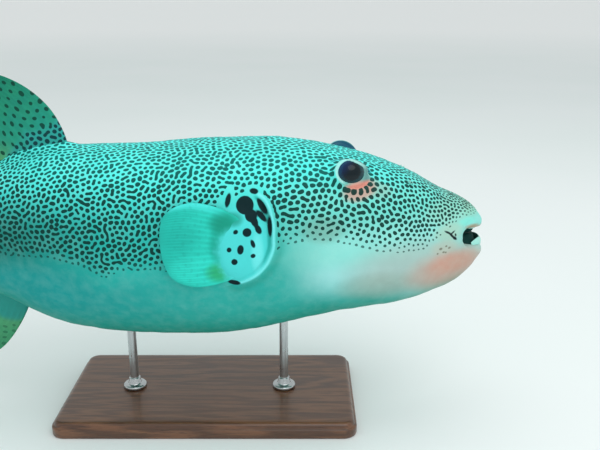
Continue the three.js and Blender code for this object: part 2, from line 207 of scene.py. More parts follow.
class Blur:
    """Gaussian blur over a grid on a surface, by a distance given at each point."""

    def __init__(self, sigma, row_step, column_step, closed):
        self.closed = closed
        ratio = sigma / row_step
        self.reach = math.ceil(TAP_REACH * np.percentile(ratio, 99))
        taps = [np.exp(-0.5 * (k / ratio) ** 2) for k in range(self.reach + 1)]
        total = taps[0] + 2 * sum(taps[1:])
        self.taps = [(tap / total).astype(np.float32) for tap in taps]
        spacing = column_step.mean(axis=1, keepdims=True)
        count = column_step.shape[1] if closed else 2 * column_step.shape[1]
        turns = np.fft.rfftfreq(count)[None]
        share = sigma.mean(axis=1, keepdims=True) / spacing
        self.response = np.exp(-2 * np.pi**2 * share**2 * turns**2).astype(np.float32)

    def __call__(self, field):
        wide = field if self.closed else np.concatenate([field, field[:, ::-1]], axis=1)
        wide = np.fft.irfft(np.fft.rfft(wide, axis=1) * self.response, n=wide.shape[1], axis=1)
        rows = np.pad(wide.astype(np.float32)[:, : field.shape[1]], ((self.reach,) * 2, (0, 0)), mode="edge")

        def moved(k):
            return rows[self.reach + k : self.reach + k + field.shape[0]]

        out = self.taps[0] * moved(0)
        for k in range(1, self.reach + 1):
            out = out + self.taps[k] * (moved(k) + moved(-k))
        return out


def finer(values):
    """The same values on a grid twice as fine both ways."""
    return np.repeat(np.repeat(values, 2, axis=0), 2, axis=1).astype(np.float32)


def grow_spots(points, pitch, bias, closed=True, seed=SPOT_SEED):
    """Lets a pattern of spots organise itself on a grid of points. The result is above zero in a spot."""
    row_step = lengths(np.diff(points, axis=0))
    row_step = np.concatenate([row_step, row_step[-1:]]) + 1e-3
    column_step = lengths(points - np.roll(points, 1, axis=1))
    if not closed:
        column_step[:, 0] = column_step[:, 1]
    column_step = column_step + 1e-3
    row_step, column_step, pitch, bias = map(finer, (row_step / 2, column_step / 2, pitch, bias))
    narrow = Blur(NARROW * pitch, row_step, column_step, closed)
    wide = Blur(WIDE * pitch, row_step, column_step, closed)
    field = np.random.default_rng(seed).normal(size=pitch.shape).astype(np.float32)
    for _ in range(SPOT_ROUNDS):
        field = np.tanh(CONTRAST * (narrow(field) - wide(field)) + bias)
    return (CONTRAST * (narrow(field) - wide(field)))[::2, ::2]


# ---- small helpers ----
def smooth(value, low=0.0, high=1.0):
    """0 below low, 1 above high, and a smooth step between."""
    x = np.clip((value - low) / (high - low), 0, 1)
    return x * x * (3 - 2 * x)


def hump(value, centre, width):
    return np.exp(-(((value - centre) / width) ** 2))


def soft_max(a, b, width):
    return (a + b + np.sqrt((a - b) ** 2 + width**2)) / 2


def turned(x, z, lean):
    """Distances along and across a line that leans by some degrees."""
    a = math.radians(lean)
    return x * math.cos(a) - z * math.sin(a), x * math.sin(a) + z * math.cos(a)


def lengths(vectors):
    return np.linalg.norm(vectors, axis=-1)


def along_ways(*parts):
    """The sum of amounts, each along its own direction."""
    return sum(amount[..., None] * way for amount, way in parts)


def nearest_place(points, wanted):
    """Row and column of the point of a grid that lies nearest to a wanted place."""
    gaps = lengths(points - wanted)
    return np.unravel_index(gaps.argmin(), gaps.shape)


def unit(vector):
    return vector / np.linalg.norm(vector)


def normals_of(rings):
    around = np.roll(rings, -1, axis=1) - np.roll(rings, 1, axis=1)
    normal = np.cross(around, np.gradient(rings, axis=0))
    return normal / (np.linalg.norm(normal, axis=-1, keepdims=True) + 1e-9)


def waves(points, size, seed, count=24):
    """Smooth noise, about -1 to 1, made of plane waves roughly as long as size."""
    rng = np.random.default_rng(seed)
    total = np.zeros(points.shape[:-1])
    for _ in range(count):
        direction = rng.normal(size=3)
        direction *= 2 * np.pi / (size * rng.uniform(0.6, 1.6) * np.linalg.norm(direction))
        total += np.sin(points @ direction + rng.uniform(0, 2 * np.pi))
    return total / math.sqrt(count)


def to_world(points):
    behind, side, level = np.moveaxis(points, -1, 0)
    return np.stack([SNOUT - behind, side, AXIS + level], axis=-1) * MM


# ---- meshes ----
MAP_STRIP = 0.01  # height of the map's strips for the fans that close a piece
MAP_GAP = 0.005  # between the parts of a fin's map
FACE_MAP = (0.49, 0.94)  # width and height of each face of a fin on its map
EDGE_MAP_LENGTH = 0.24
EDGE_MAP_LEVELS = (0.96, 0.96, 0.985, 0.985)


def make_object(name, points, groups, attributes, material):
    """A mesh from points in metres and groups of quads or triangles, each with its own map corners."""
    mesh = bpy.data.meshes.new(name)
    mesh.vertices.add(len(points))
    mesh.vertices.foreach_set("co", np.ascontiguousarray(points, np.float32).ravel())
    corners = np.concatenate([faces.ravel() for faces, _ in groups]).astype(np.int32)
    totals = np.concatenate([np.full(len(faces), faces.shape[1]) for faces, _ in groups]).astype(np.int32)
    starts = np.concatenate([[0], np.cumsum(totals)[:-1]]).astype(np.int32)
    mesh.loops.add(len(corners))
    mesh.loops.foreach_set("vertex_index", corners)
    mesh.polygons.add(len(totals))
    mesh.polygons.foreach_set("loop_start", starts)
    mesh.polygons.foreach_set("use_smooth", np.ones(len(totals), bool))
    uv = mesh.uv_layers.new(name="OFBake")
    flat = np.concatenate([uvs.reshape(-1, 2) for _, uvs in groups]).astype(np.float32)
    uv.data.foreach_set("uv", flat.ravel())
    for key, values in attributes.items():
        layer = mesh.attributes.new(key, "FLOAT", "POINT")
        layer.data.foreach_set("value", np.asarray(values, np.float32).ravel())
    mesh.update(calc_edges=True)
    mesh.validate()
    obj = bpy.data.objects.new(name, mesh)
    bpy.context.scene.collection.objects.link(obj)
    mesh.materials.append(material)
    return obj


def grid_faces(rows, columns, closed):
    """Quads of a grid of rows x columns points, with their map corners over the unit square."""
    spans = columns if closed else columns - 1
    r, c = np.meshgrid(np.arange(rows - 1), np.arange(spans), indexing="ij")
    r, c = r.ravel(), c.ravel()
    after = (c + 1) % columns
    near, far = r * columns, (r + 1) * columns
    quads = np.stack([near + c, near + after, far + after, far + c], axis=1)
    corners = [(c, r), (c + 1, r), (c + 1, r + 1), (c, r + 1)]
    uvs = np.stack([np.stack([a / spans, b / (rows - 1)], axis=1) for a, b in corners], axis=1)
    return quads, uvs


def fan_faces(ring, middle, at_top):
    """Triangles from a closed ring of point numbers to one point, on a thin strip of the map."""
    count = len(ring)
    steps = np.arange(count)
    corners = [(ring, steps), (np.roll(ring, -1), steps + 1)]
    if not at_top:
        corners.reverse()
    corners.append((np.full(count, middle), steps + 0.5))
    levels = (1 - MAP_STRIP, 1 - MAP_STRIP, 1.0) if at_top else (MAP_STRIP, MAP_STRIP, 0.0)
    triangles = np.stack([numbers for numbers, _ in corners], axis=1)
    map_corners = zip(corners, levels)
    uvs = [np.stack([across / count, np.full(count, level)], axis=1) for (_, across), level in map_corners]
    return triangles, np.stack(uvs, axis=1)


def tube_object(name, rings, ends, attributes, material, inside_out=False):
    """A closed piece, in metres, from its rings and the two points that close it."""
    rows, columns = rings.shape[:2]
    count = rows * columns
    quads, uvs = grid_faces(rows, columns, True)
    ring = np.arange(columns)
    groups = [
        (quads, uvs * (1, 1 - 2 * MAP_STRIP) + (0, MAP_STRIP)),
        fan_faces(ring, count, False),
        fan_faces(ring + count - columns, count + 1, True),
    ]
    if inside_out:
        groups = [(faces[:, ::-1], corners[:, ::-1]) for faces, corners in groups]
    points = np.concatenate([rings.reshape(-1, 3), ends])
    return make_object(name, points, groups, attributes, material)


def with_ends(values, first, last):
    return np.concatenate([np.ravel(values), [first, last]])


# ---- eye and gill landmarks ----
EYE_AXIS = unit(np.array([-0.12, 0.93, 0.34]))  # of the left eye
EYE_OPENING = (13.4, 11.5)  # half width and half height of the bare dome
OPENING_FORWARD = 0.8
UPPER_LID = {"slope": 0.45, "height": 9.9}  # a straight lid across the front and top of the opening
RAISED_LID = 0.3  # how much higher the opening reaches at its top
LID_CORNER = 0.06  # how rounded the opening is where its straight lid ends
SOCKET = {"forward": 3.7, "down": 1.6, "half_length": 16.3, "half_height": 13.8}
BULGE = {"steep": 66, "reach": 21.5, "fillet": 4.2}  # skin over the ball to this angle, then out to the head
BULGE_SAMPLES = 60
BULGE_STRETCH = 0.34  # how much longer the inner half of a bulge is than the ball
LID_COVER = 0.9  # skin over the eyeball
LOWERED = {"depth": 3.6, "rise": (43, 70), "sink": (120, 170)}  # degrees over the axis, at the inner top
LOWERED_ENDS = (0.72, 0.97)  # how far forward or back, as a share of the radius, the lowered part fades
DRAWN_IN = {-1: (0, 0, 0), 1: (3, -1.2, -2)}  # how far the left eye is drawn back, in and down
# the dark lids are painted shade
DARK_LID = {-1: (101, 113), 1: (49, 54)}  # degrees over each eye's axis where its lid turns dark
DARK_LENGTH = 1.25  # of the dark part, against its height
BALL_EDGE = (1.4, 3.4)  # off the ball, where the dark fades
EYE_FRONT = (-2, 3)  # out along the eye's axis, where the lids' relief sets in
LID_FOLD = (1.16, 0.17)  # place and width of the fold round the socket, by its measure
LID_GROOVE = (0.95, 0.1)  # of the groove inside the fold
LID_RIM = (1.1, 0.08)  # of the rim round the opening, by its own measure
POCKET_DEPTH = 2.5  # of the skin under the eyeball's surface in the opening
POCKET_WALL = 3.4  # how far the skin rises again at the opening's edge


def eye_centre(side):
    low, high = EYE_BOXES[side]
    middle = (low + high) / 2 / MM
    return np.array([SNOUT - middle.x, middle.y, middle.z - AXIS]) + DRAWN_IN[side]


EYE_RADIUS = (EYE_BOXES[-1][1].z - EYE_BOXES[-1][0].z) / (2 * MM)


def eye_frame(side):
    """Axis out of the eye, and the forward and upward directions across it."""
    axis = EYE_AXIS * np.array([1, side, 1])
    up = unit(np.array([0, 0, 1]) - axis[2] * axis)
    forward = np.cross(up, axis) * side
    return axis, forward if forward[0] < 0 else -forward, up


def eye_coordinates(points, side):
    """Distance out along the eye's axis, and forward and up across it."""
    axis, forward, up = eye_frame(side)
    offset = points - eye_centre(side)
    return offset @ axis, offset @ forward, offset @ up


def own_eye(side, wrapped):
    """The eye coordinates of each point, by the eye on its own side."""
    return np.where(side < 0, eye_coordinates(wrapped, -1), eye_coordinates(wrapped, 1))


def opening_measure(forward, up):
    """Below 1 in the opening between the lids."""
    forward = forward - OPENING_FORWARD
    raised = np.where(up > 0, RAISED_LID, 0)
    oval = np.hypot(forward / EYE_OPENING[0], up / (EYE_OPENING[1] + raised))
    lid = (up + UPPER_LID["slope"] * forward) / (UPPER_LID["height"] + raised)
    return soft_max(oval, lid, LID_CORNER) - 0.01


def socket_measure(forward, up):
    """Below 1 in the bare ring round the eye."""
    along = (forward - SOCKET["forward"]) / SOCKET["half_length"]
    return np.hypot(along, (up + SOCKET["down"]) / SOCKET["half_height"])


def bulge_profile():
    """A bulge from its top outwards: share of its arc, distance out, height, and the share on the ball."""
    radius, steep = EYE_RADIUS + LID_COVER, math.radians(BULGE["steep"])
    angle = np.linspace(0, steep, BULGE_SAMPLES)
    dome = np.stack([radius * np.sin(angle), radius * np.cos(angle)], axis=1)
    slope = np.array([math.cos(steep), -math.sin(steep)])
    end = np.array([BULGE["reach"], 0.0])
    handles = dome[-1], dome[-1] + BULGE["fillet"] * slope, end - [BULGE["fillet"], 0], end
    t = np.linspace(0, 1, BULGE_SAMPLES)[1:, None]
    weights = (1 - t) ** 3, 3 * t * (1 - t) ** 2, 3 * t * t * (1 - t), t**3
    curve = np.concatenate([dome, sum(weight * handle for weight, handle in zip(weights, handles))])
    arc = np.concatenate([[0], np.cumsum(lengths(np.diff(curve, axis=0)))])
    return arc / arc[-1], curve[:, 0], curve[:, 1], arc[len(dome) - 1] / arc[-1]


def lowered_by(out, forward, up):
    """How much lower the hidden top of an eyeball lies than a full ball."""
    over = np.degrees(np.arctan2(up, out))
    away = np.sqrt(out**2 + forward**2 + up**2)
    ends = 1 - smooth(np.abs(forward) / away, *LOWERED_ENDS)
    return LOWERED["depth"] * smooth(over, *LOWERED["rise"]) * (1 - smooth(over, *LOWERED["sink"])) * ends


def dark_lid_share(out, forward, up, side):
    """1 on the part of each bulge that faces the other eye, which the skin material darkens with painted
    shade.
    """
    start, end = (np.where(side < 0, DARK_LID[-1][k], DARK_LID[1][k]) for k in (0, 1))
    away = np.sqrt(out**2 + (forward / DARK_LENGTH) ** 2 + up**2)
    on_ball = 1 - smooth(away, EYE_RADIUS + BALL_EDGE[0], EYE_RADIUS + BALL_EDGE[1])
    return smooth(np.degrees(np.arctan2(up, out)), start, end) * on_ball


def wrap_eye(points, normals, side):
    """Draws the skin round one eye over the eyeball, spreading it evenly."""
    offset = points - eye_centre(side)
    out_way = normals[nearest_place(points, eye_centre(side))]
    along_way = unit(np.cross([0, side, 0], out_way))
    across_way = np.cross(out_way, along_way)
    height, along, across = offset @ out_way, offset @ along_way, offset @ across_way
    away = np.hypot(along, across)
    arc, outs, heights, dome_share = bulge_profile()
    share = away / BULGE["reach"]
    spread = np.interp(share, arc, outs) / np.maximum(away, 1e-6)
    lifted = np.interp(share, arc, heights) + height * smooth(share, dome_share, 1)
    inner = smooth(-across * np.sign(across_way @ [0, side, 0]), 0, EYE_RADIUS)
    stretch = 1 + BULGE_STRETCH * inner * (1 - smooth(share, 0.7, 1))
    wrapped = eye_centre(side) + along_ways(
        (along * spread * stretch, along_way), (across * spread, across_way), (lifted, out_way)
    )
    offset = wrapped - eye_centre(side)
    drop = lowered_by(*eye_coordinates(wrapped, side)) * (1 - smooth(share, dome_share, 1))
    wrapped -= offset * (drop / lengths(offset))[..., None]
    inside = (share < 1) & (points[..., 1] * side > 0) & (height > -EYE_RADIUS)
    return np.where(inside[..., None], wrapped, points)


def sculpt_eye(points, side):
    """Opens the lids over the eyeball, and shapes the lower lid and the bare rim round them."""
    axis = eye_frame(side)[0]
    out, forward, up = eye_coordinates(points, side)
    facing = (out > EYE_FRONT[0]) & (points[..., 1] * side > 0)
    opening, socket = opening_measure(forward, up), socket_measure(forward, up)
    lower = 1 - smooth(up, -2, 9)
    fold = (0.2 + 1.5 * lower) * hump(socket, *LID_FOLD)
    groove = 0.9 * hump(socket, *LID_GROOVE) * (0.2 + 0.8 * lower)
    rim = 0.35 * hump(opening, *LID_RIM) * (1 - smooth(up, 6, 11))
    lid = (fold - groove + rim) * facing * smooth(out, *EYE_FRONT)
    offset = points + lid[..., None] * axis - eye_centre(side)
    distance = lengths(offset)
    pocket = EYE_RADIUS - POCKET_DEPTH + POCKET_WALL * smooth(opening, 0.84, 1.0)
    wanted = np.where(facing & (opening < 1), np.minimum(distance, pocket), distance)
    return eye_centre(side) + offset * (wanted / np.maximum(distance, 1e-6))[..., None]


CRESCENT = [  # rim of the gill opening from its top down: behind, level
    (221, 52), (212, 44), (207.5, 34), (205, 20), (205, 6), (209, -8), (217, -19), (228, -26), (238, -30),
]
CRESCENT_SAMPLES = 160
CRESCENT_BOX = ((170, 270), (-70, 90))  # where the rim's distance is worked out: behind, level
NO_GILL = 99.0  # the signed distance given to all places far from the gill opening
NO_MARK = -9.0  # the value of a mark's field far away from it
OUT_OF_REACH = 60  # how far down the eye's tints are moved on the far half of a bulge, to keep them off it
GILL_RIM = {"height": 1.3, "front": 8, "rear": 1.4}  # height, and width of its slopes
SLIT = {"depth": 2.0, "behind": 3.4, "width": 2.0}  # behind the rim
LOBE = {
    "behind": 236, "level": 3, "half_length": 27, "half_height": 38, "height": 4.6, "slope": (0.35, 1.12),
}


def crescent_measure(points):
    """Signed distance behind the rim of the gill opening, and how far down along it (0 to 1)."""
    u = np.linspace(0, len(CRESCENT) - 1, CRESCENT_SAMPLES)
    curve = np.stack([through(values, u) for values in zip(*CRESCENT)], axis=1)
    tangent = np.gradient(curve, axis=0)
    tangent /= np.linalg.norm(tangent, axis=1, keepdims=True)
    behind, level = points[..., 0], points[..., 2]
    distance = np.where(behind < CRESCENT[-1][0], -NO_GILL, NO_GILL)
    place = np.zeros(behind.shape)
    near = np.logical_and(*(
        (low < value) & (value < high) for value, (low, high) in zip((behind, level), CRESCENT_BOX)
    ))
    spots = np.stack([behind[near], level[near]], axis=1)
    gaps = spots[:, None] - curve[None]
    best = lengths(gaps).argmin(axis=1)
    gap, turn = gaps[np.arange(len(best)), best], tangent[best]
    distance[near] = np.sign(turn[:, 0] * gap[:, 1] - turn[:, 1] * gap[:, 0]) * lengths(gap)
    place[near] = best / (len(curve) - 1)
    return distance, place


def gill_relief(points):
    """The raised rim and the slit of the gill opening, and the lobe behind it that carries the fin."""
    distance, place = crescent_measure(points)
    ends = smooth(place, 0.0, 0.16) * (1 - smooth(place, 0.84, 1.0))
    rim = GILL_RIM["height"] * hump(distance, 0, np.where(distance < 0, GILL_RIM["front"], GILL_RIM["rear"]))
    slit = -SLIT["depth"] * (1 - 0.8 * smooth(place, 0.4, 0.85))
    slit = slit * hump(distance, SLIT["behind"], SLIT["width"])
    along = (points[..., 0] - LOBE["behind"]) / LOBE["half_length"]
    up = (points[..., 2] - LOBE["level"]) / LOBE["half_height"]
    lobe = LOBE["height"] * (1 - smooth(np.hypot(along, up), *LOBE["slope"]))
    return ends * (rim + slit) + lobe


# ---- the skin ----
LIP_RINGS = ((0.7, 4.75, 0.45), (-0.35, 5.9, 0.4))  # lips and the groove round them: height, section, width
MOUTH_FOLD = 0.45  # height of the small folds at the corner of the mouth
FIN_RIDGES = (  # height, where it rises and sinks again behind the snout, 1 above and -1 below
    (5, (385, 410), (452, 480), 1),
    (4, (440, 462), (490, 515), -1),
)
RIDGE_WIDTH = 9
SWELLS = ((0.35, 46, 3), (0.12, 15, 4))  # uneven skin: height, size, seed


FOLD_SIDE, FOLD_LEVEL = (24, 9), (-3, 9)  # middle and spread of the folds at the corner of the mouth


def skin_relief(points, section):
    """How far each point of the skin stands out from the plain form."""
    behind, side, level = np.moveaxis(points, -1, 0)
    out = np.abs(side)
    relief = sum(height * hump(section, middle, width) for height, middle, width in LIP_RINGS)
    corner = hump(out, *FOLD_SIDE) * hump(level, *FOLD_LEVEL) * MOUTH_FOLD
    relief += np.sin(0.9 * level + 1.4 * np.sin(0.5 * behind)) * hump(section, 6.2, 1.3) * corner
    for height, rise, sink, way in FIN_RIDGES:
        ridge = height * hump(out, 0, RIDGE_WIDTH) * smooth(behind, *rise) * (1 - smooth(behind, *sink))
        relief += ridge * (level * way > 0)
    swell = sum(height * waves(points, size, seed) for height, size, seed in SWELLS)
    return relief + swell * smooth(section, 4, 9) + gill_relief(points)


BOUNDARY = [  # lower edge of the spots: behind, level
    (0, 24), (11, 16), (27, 17), (45, 6), (65, -8), (90, -9), (110, -6), (135, 2), (165, 8), (195, 5),
    (215, -10), (260, -24), (316, -18), (343, -20), (359, -28), (380, -17), (409, -11), (456, -12),
    (520, -30), (560, -50), (640, -60),
]
SHRINK_ZONE = [(20, 12), (60, 20), (90, 40), (190, 34), (225, 20), (330, 13)]  # of the spots: behind, height
BLOTCHES = [  # the marks here: behind, level, half length, half height, lean in degrees
    (230, 41, 7.6, 7.6, 0), (224.5, 32, 5, 5, 0), (221.5, 27, 2.7, 4.4, 25), (218, 20, 2.4, 4.0, 28),
    (215.2, 31.6, 2.2, 6.0, 40), (214.6, 40, 2.6, 7.5, 33), (207.8, 22, 1.9, 9, 2), (245, 45, 2.3, 6, -12),
    (222, 52.5, 3.8, 2.3, -10), (228, 18, 3.8, 3.6, 0), (238, 18.5, 2.2, 1.8, 30), (234, 3, 2.8, 4.2, -8),
    (244, 3, 2.1, 2.2, 0), (223, 8, 1.8, 3.8, 20), (223, -3, 2.2, 2.0, 0), (239.5, -8, 2.8, 2.8, 0),
    (240.5, -29, 5.8, 2.6, -12),
]
FLANK_OUT = 40  # the marks here lie farther out than this from the middle plane
MOUTH_MARKS = [  # black lines at the corner of the mouth
    (42, 5.2, 3.6, 0.9, -28), (37.6, 1.6, 4.2, 1.0, -46), (34.2, -1.6, 2.8, 1.3, -40),
    (36.5, 4.4, 2.4, 0.8, 35), (33.4, 1.6, 1.6, 0.8, -70),
]
PINK_MARKS = [  # faint spots below it
    (48, -10, 1.7, 1.3, 0), (45, -13.8, 1.3, 1.0, 0), (42.4, -8.2, 1.2, 1.0, 0), (39, -10.4, 1.5, 1.1, 20),
    (42.5, -14.5, 1.1, 0.9, 0), (51, -14.5, 1.1, 1.0, 0),
]


def mark_field(marks, behind, level, join=0.3):
    """Above zero inside any of the oval marks, in about millimetres; join rounds where two marks meet."""
    best = np.full(behind.shape, NO_MARK)
    for centre, height, half_length, half_height, lean in marks:
        along, across = turned(behind - centre, level - height, lean)
        q = np.hypot(along / half_length, across / half_height)
        best = soft_max(best, (1 - q) * min(half_length, half_height), join)
    return best


def bare_share(behind, level, section, above, gill, marks, out, forward, up):
    """1 where the skin carries no spots."""
    lobe = smooth(gill, -3.8, -2.4) * (1 - smooth(behind, 247, 257)) * (1 - smooth(level, 45, 50))
    bare_parts = (
        smooth(-above, -1, 3),  # belly
        1 - smooth(section, 5.1, 5.8),  # lips
        lobe * (gill < NO_GILL),  # lobe under the pectoral fin
        smooth(marks, -2.9, -1.9),  # round the black marks
        (1 - smooth(socket_measure(forward, up), 0.9, 1.02)) * (out > 0),  # ring round the eye
        (1 - smooth(opening_measure(forward, up), 1.07, 1.15)) * (out > 0),  # edge of the lids
    )
    return np.max(bare_parts, axis=0)


def skin_attributes(points, wrapped, section, down):
    """The values at each point of the skin that its material reads."""
    behind, side, level = np.moveaxis(points, -1, 0)
    above = level - through_places(BOUNDARY, behind)
    gill, gill_place = crescent_measure(points)
    blotches = np.where(np.abs(side) > FLANK_OUT, mark_field(BLOTCHES, behind, level, 0.8), NO_MARK)
    marks = np.maximum(blotches, mark_field(MOUTH_MARKS, behind, level))
    out, forward, up = own_eye(side, wrapped)
    dark_lid = dark_lid_share(out, forward, up, side)
    bare = bare_share(behind, level, section, above, gill, marks, out, forward, up)
    bare = np.maximum(bare, dark_lid)
    low = 1 - smooth(above, 0, through_places(SHRINK_ZONE, behind))
    # How readily spots grow: a little unevenly, more to the rear, less low down and never on bare skin.
    bias = -0.69 + 0.07 * waves(points, 60, 9) + 0.06 * smooth(behind, 200, 320) - 0.26 * low - 2.5 * bare
    field = grow_spots(points, through_places(SPOT_PITCH, behind), bias)
    spread = field[bare < 0.05].std()
    # How high the field has to be to show as a spot: the higher, the smaller the spots.
    cut = -0.06 + 0.16 * waves(points, 12, 21) + 0.62 * low**2 + 3 * bare
    return {
        "spot": field / (2 * spread) - cut,
        "blotch": marks,
        "pink": mark_field(PINK_MARKS, behind, level),
        "behind": behind,
        "level": level,
        "above": above,
        "section": section,
        "gill": gill,
        "gill_place": gill_place,
        "eye_forward": forward,
        "eye_up": up - np.where(out > 0, 0, OUT_OF_REACH),
        "opening": opening_measure(forward, up),
        "dark_lid": dark_lid,
        "down": down,
    }


def make_skin():
    """The one skin of head, jaws, trunk and tail; returns its points and the plain form's normals."""
    u = body_rows(BODY_ROWS)
    plain = even_rings(u, BODY_COLUMNS)
    section = np.broadcast_to(u[:, None], plain.shape[:2])
    normal = normals_of(plain)
    points = plain + normal * skin_relief(plain, section)[..., None]
    for side in SIDE_NAMES:
        points = wrap_eye(points, normal, side)
    fields = skin_attributes(plain, points, section, -normal[..., 2])
    for side in SIDE_NAMES:
        points = sculpt_eye(points, side)
    attributes = {name: with_ends(values, values[0, 0], values[-1, -1]) for name, values in fields.items()}
    ends = np.stack([points[0].mean(axis=0), points[-1].mean(axis=0)])
    skin = tube_object("skin", to_world(points), to_world(ends), attributes, skin_material())
    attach(skin, "root")
    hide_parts("head", "lower_jaw", "trunk", "tail")
    return points, normal


# ---- materials ----
def srgb(red, green, blue):
    """A colour for a shader socket from its 0 to 255 screen values."""
    def linear(value):
        value /= 255
        return value / 12.92 if value <= 0.04045 else ((value + 0.055) / 1.055) ** 2.4
    return (linear(red), linear(green), linear(blue), 1)


class Nodes:
    """Short calls for building a material's node tree, with a running colour that tints are laid over."""

    def __init__(self, name, color=None):
        self.material = bpy.data.materials.new(name)
        self.material.use_nodes = True
        self.tree = self.material.node_tree
        self.tree.nodes.clear()
        self.shader = self.add("ShaderNodeBsdfPrincipled")
        self.join(self.shader.outputs["BSDF"], self.add("ShaderNodeOutputMaterial").inputs["Surface"])
        self.color = color

    def add(self, kind, **settings):
        node = self.tree.nodes.new(kind)
        for key, value in settings.items():
            setattr(node, key, value)
        return node

    def join(self, source, socket):
        if isinstance(source, bpy.types.NodeSocket):
            self.tree.links.new(source, socket)
        else:
            socket.default_value = source

    def join_all(self, node, **sources):
        for key, source in sources.items():
            self.join(source, node.inputs[key.replace("_", " ")])

    def value(self, name):
        return self.add("ShaderNodeAttribute", attribute_name=name).outputs["Fac"]

    def values(self, *names):
        return [self.value(name) for name in names]

    def place(self, size):
        """Object coordinates divided by a size in millimetres."""
        node = self.add("ShaderNodeMapping")
        sizes = size if isinstance(size, tuple) else (size,) * 3
        source = self.add("ShaderNodeTexCoord").outputs["Object"]
        self.join_all(node, Vector=source, Scale=[1 / (s * MM) for s in sizes])
        return node.outputs["Vector"]

    def noise(self, size, detail, roughness=0.5):
        node = self.add("ShaderNodeTexNoise")
        self.join_all(node, Vector=self.place(size), Scale=1, Detail=detail, Roughness=roughness)
        return node.outputs["Fac"]

    def cells(self, size):
        node = self.add("ShaderNodeTexVoronoi")
        self.join_all(node, Vector=self.place(size), Scale=1)
        return node.outputs["Distance"]

    def math(self, operation, a, b=0.5):
        node = self.add("ShaderNodeMath", operation=operation)
        self.join(a, node.inputs[0])
        self.join(b, node.inputs[1])
        return node.outputs[0]

    def plus(self, a, b):
        return self.math("ADD", a, b)

    def minus(self, a, b):
        return self.math("SUBTRACT", a, b)

    def times(self, a, b):
        return self.math("MULTIPLY", a, b)

    def ramp(self, value, low, high, start=0.0, end=1.0, step="LINEAR"):
        """A step of value: start at or below low, end at or above high."""
        node = self.add("ShaderNodeMapRange", interpolation_type=step)
        self.join_all(node, Value=value, From_Min=low, From_Max=high, To_Min=start, To_Max=end)
        return node.outputs["Result"]

    def fade(self, value, low, high, start=0.0, end=1.0):
        """The same with a smooth step, which may run from a high value down to a low one."""
        if low > high:
            low, high, start, end = high, low, end, start
        return self.ramp(value, low, high, start, end, "SMOOTHSTEP")

    def patchy(self, size, detail, low, high, start=0.0, end=1.0):
        """Noise, stretched so that it runs from start to end."""
        return self.ramp(self.noise(size, detail), low, high, start, end)

    def mix(self, share, a, b):
        node = self.add("ShaderNodeMix", data_type="RGBA")
        self.join(share, node.inputs["Factor"])
        color_a, color_b = [socket for socket in node.inputs if socket.type == "RGBA"]
        self.join(a, color_a)
        self.join(b, color_b)
        return next(socket for socket in node.outputs if socket.type == "RGBA")

    def tint(self, mask, color, strength=None):
        """Lays a colour over the running colour where the mask is 1."""
        share = mask if strength is None else self.times(mask, strength)
        self.color = self.mix(share, self.color, color)

    def around(self, value, centre, width):
        """1 where value is at centre, falling smoothly to 0 at width away."""
        return self.fade(self.math("ABSOLUTE", self.minus(value, centre)), width, 0)

    def patch(self, x, y, centre, half_sizes, core=0.0):
        """1 in the core of an oval place, falling smoothly to 0 at its rim."""
        total = 0.0
        for value, middle, half in zip((x, y), centre, half_sizes):
            share = self.math("DIVIDE", self.minus(value, middle), half)
            total = self.plus(self.times(share, share), total)
        return self.fade(total, 1.0, core)

    def bump(self, height, distance, strength):
        node = self.add("ShaderNodeBump")
        self.join_all(node, Strength=strength, Distance=distance * MM, Height=height)
        return node.outputs["Normal"]

    def finish(self, roughness, normal=None, **sockets):
        self.join_all(self.shader, Base_Color=self.color, Roughness=roughness, **sockets)
        if normal is not None:
            self.join_all(self.shader, Normal=normal)
        return self.material


# aqua ground of the back, painted lighter than the flank as if lit from above
BACK_TONE_AND_TOP_LIGHT = srgb(86, 238, 230)
FLANK = srgb(42, 182, 172)
# painted shade: the flank darkens towards the rear, where the light falls off
REAR_SHADE = srgb(24, 122, 114)
BELLY = srgb(46, 172, 162)
BELLY_REAR = srgb(26, 152, 150)
# painted shade for the skin that faces down
UNDERSIDE_SHADE = srgb(40, 152, 132)
CHEEK = srgb(162, 226, 224)
PALE_NET = srgb(134, 226, 212)
SPOT = srgb(2, 52, 46)
# spot colour on the top of the back, painted lighter as if lit from above
SPOT_TOP_LIGHT = srgb(2, 104, 98)
BLACK_MARK = srgb(2, 16, 24)
LOBE_COLOR = srgb(78, 216, 214)
RIM_COLOR = srgb(120, 238, 238)
# painted shade for folds and creases
FOLD_SHADE = srgb(14, 138, 112)
# painted shade inside the mouth and on the teeth's inner faces
MOUTH_SHADE = srgb(6, 54, 50)
HEAD_TINTS = (  # behind and level of an oval's middle, its half sizes, strength, colour
    ((68, -26), (86, 36), 0.75, srgb(176, 188, 182)),  # warm cheek and jaw
    ((108, -42), (48, 20), 0.6, srgb(146, 168, 156)),
    ((34, 24), (38, 18), 0.45, srgb(160, 206, 182)),  # snout
    ((34, -36), (58, 30), 0.95, srgb(198, 164, 150)),  # salmon chin
    ((34, -27), (34, 15), 0.6, srgb(208, 150, 130)),
    ((160, 18), (26, 16), 0.5, srgb(116, 150, 132)),  # behind the cheek
    ((12, 26), (18, 13), 0.7, srgb(148, 204, 180)),  # snout's tip
    ((21, 12), (12, 5), 0.8, srgb(134, 236, 222)),  # over the upper lip
    ((40, 5), (20, 11), 0.6, srgb(180, 202, 178)),  # corner of the mouth
    ((44, -9), (18, 9), 0.55, srgb(192, 190, 172)),
    ((15, 5.4), (9.5, 3.4), 0.8, srgb(178, 138, 102)),  # edge of the upper lip
)


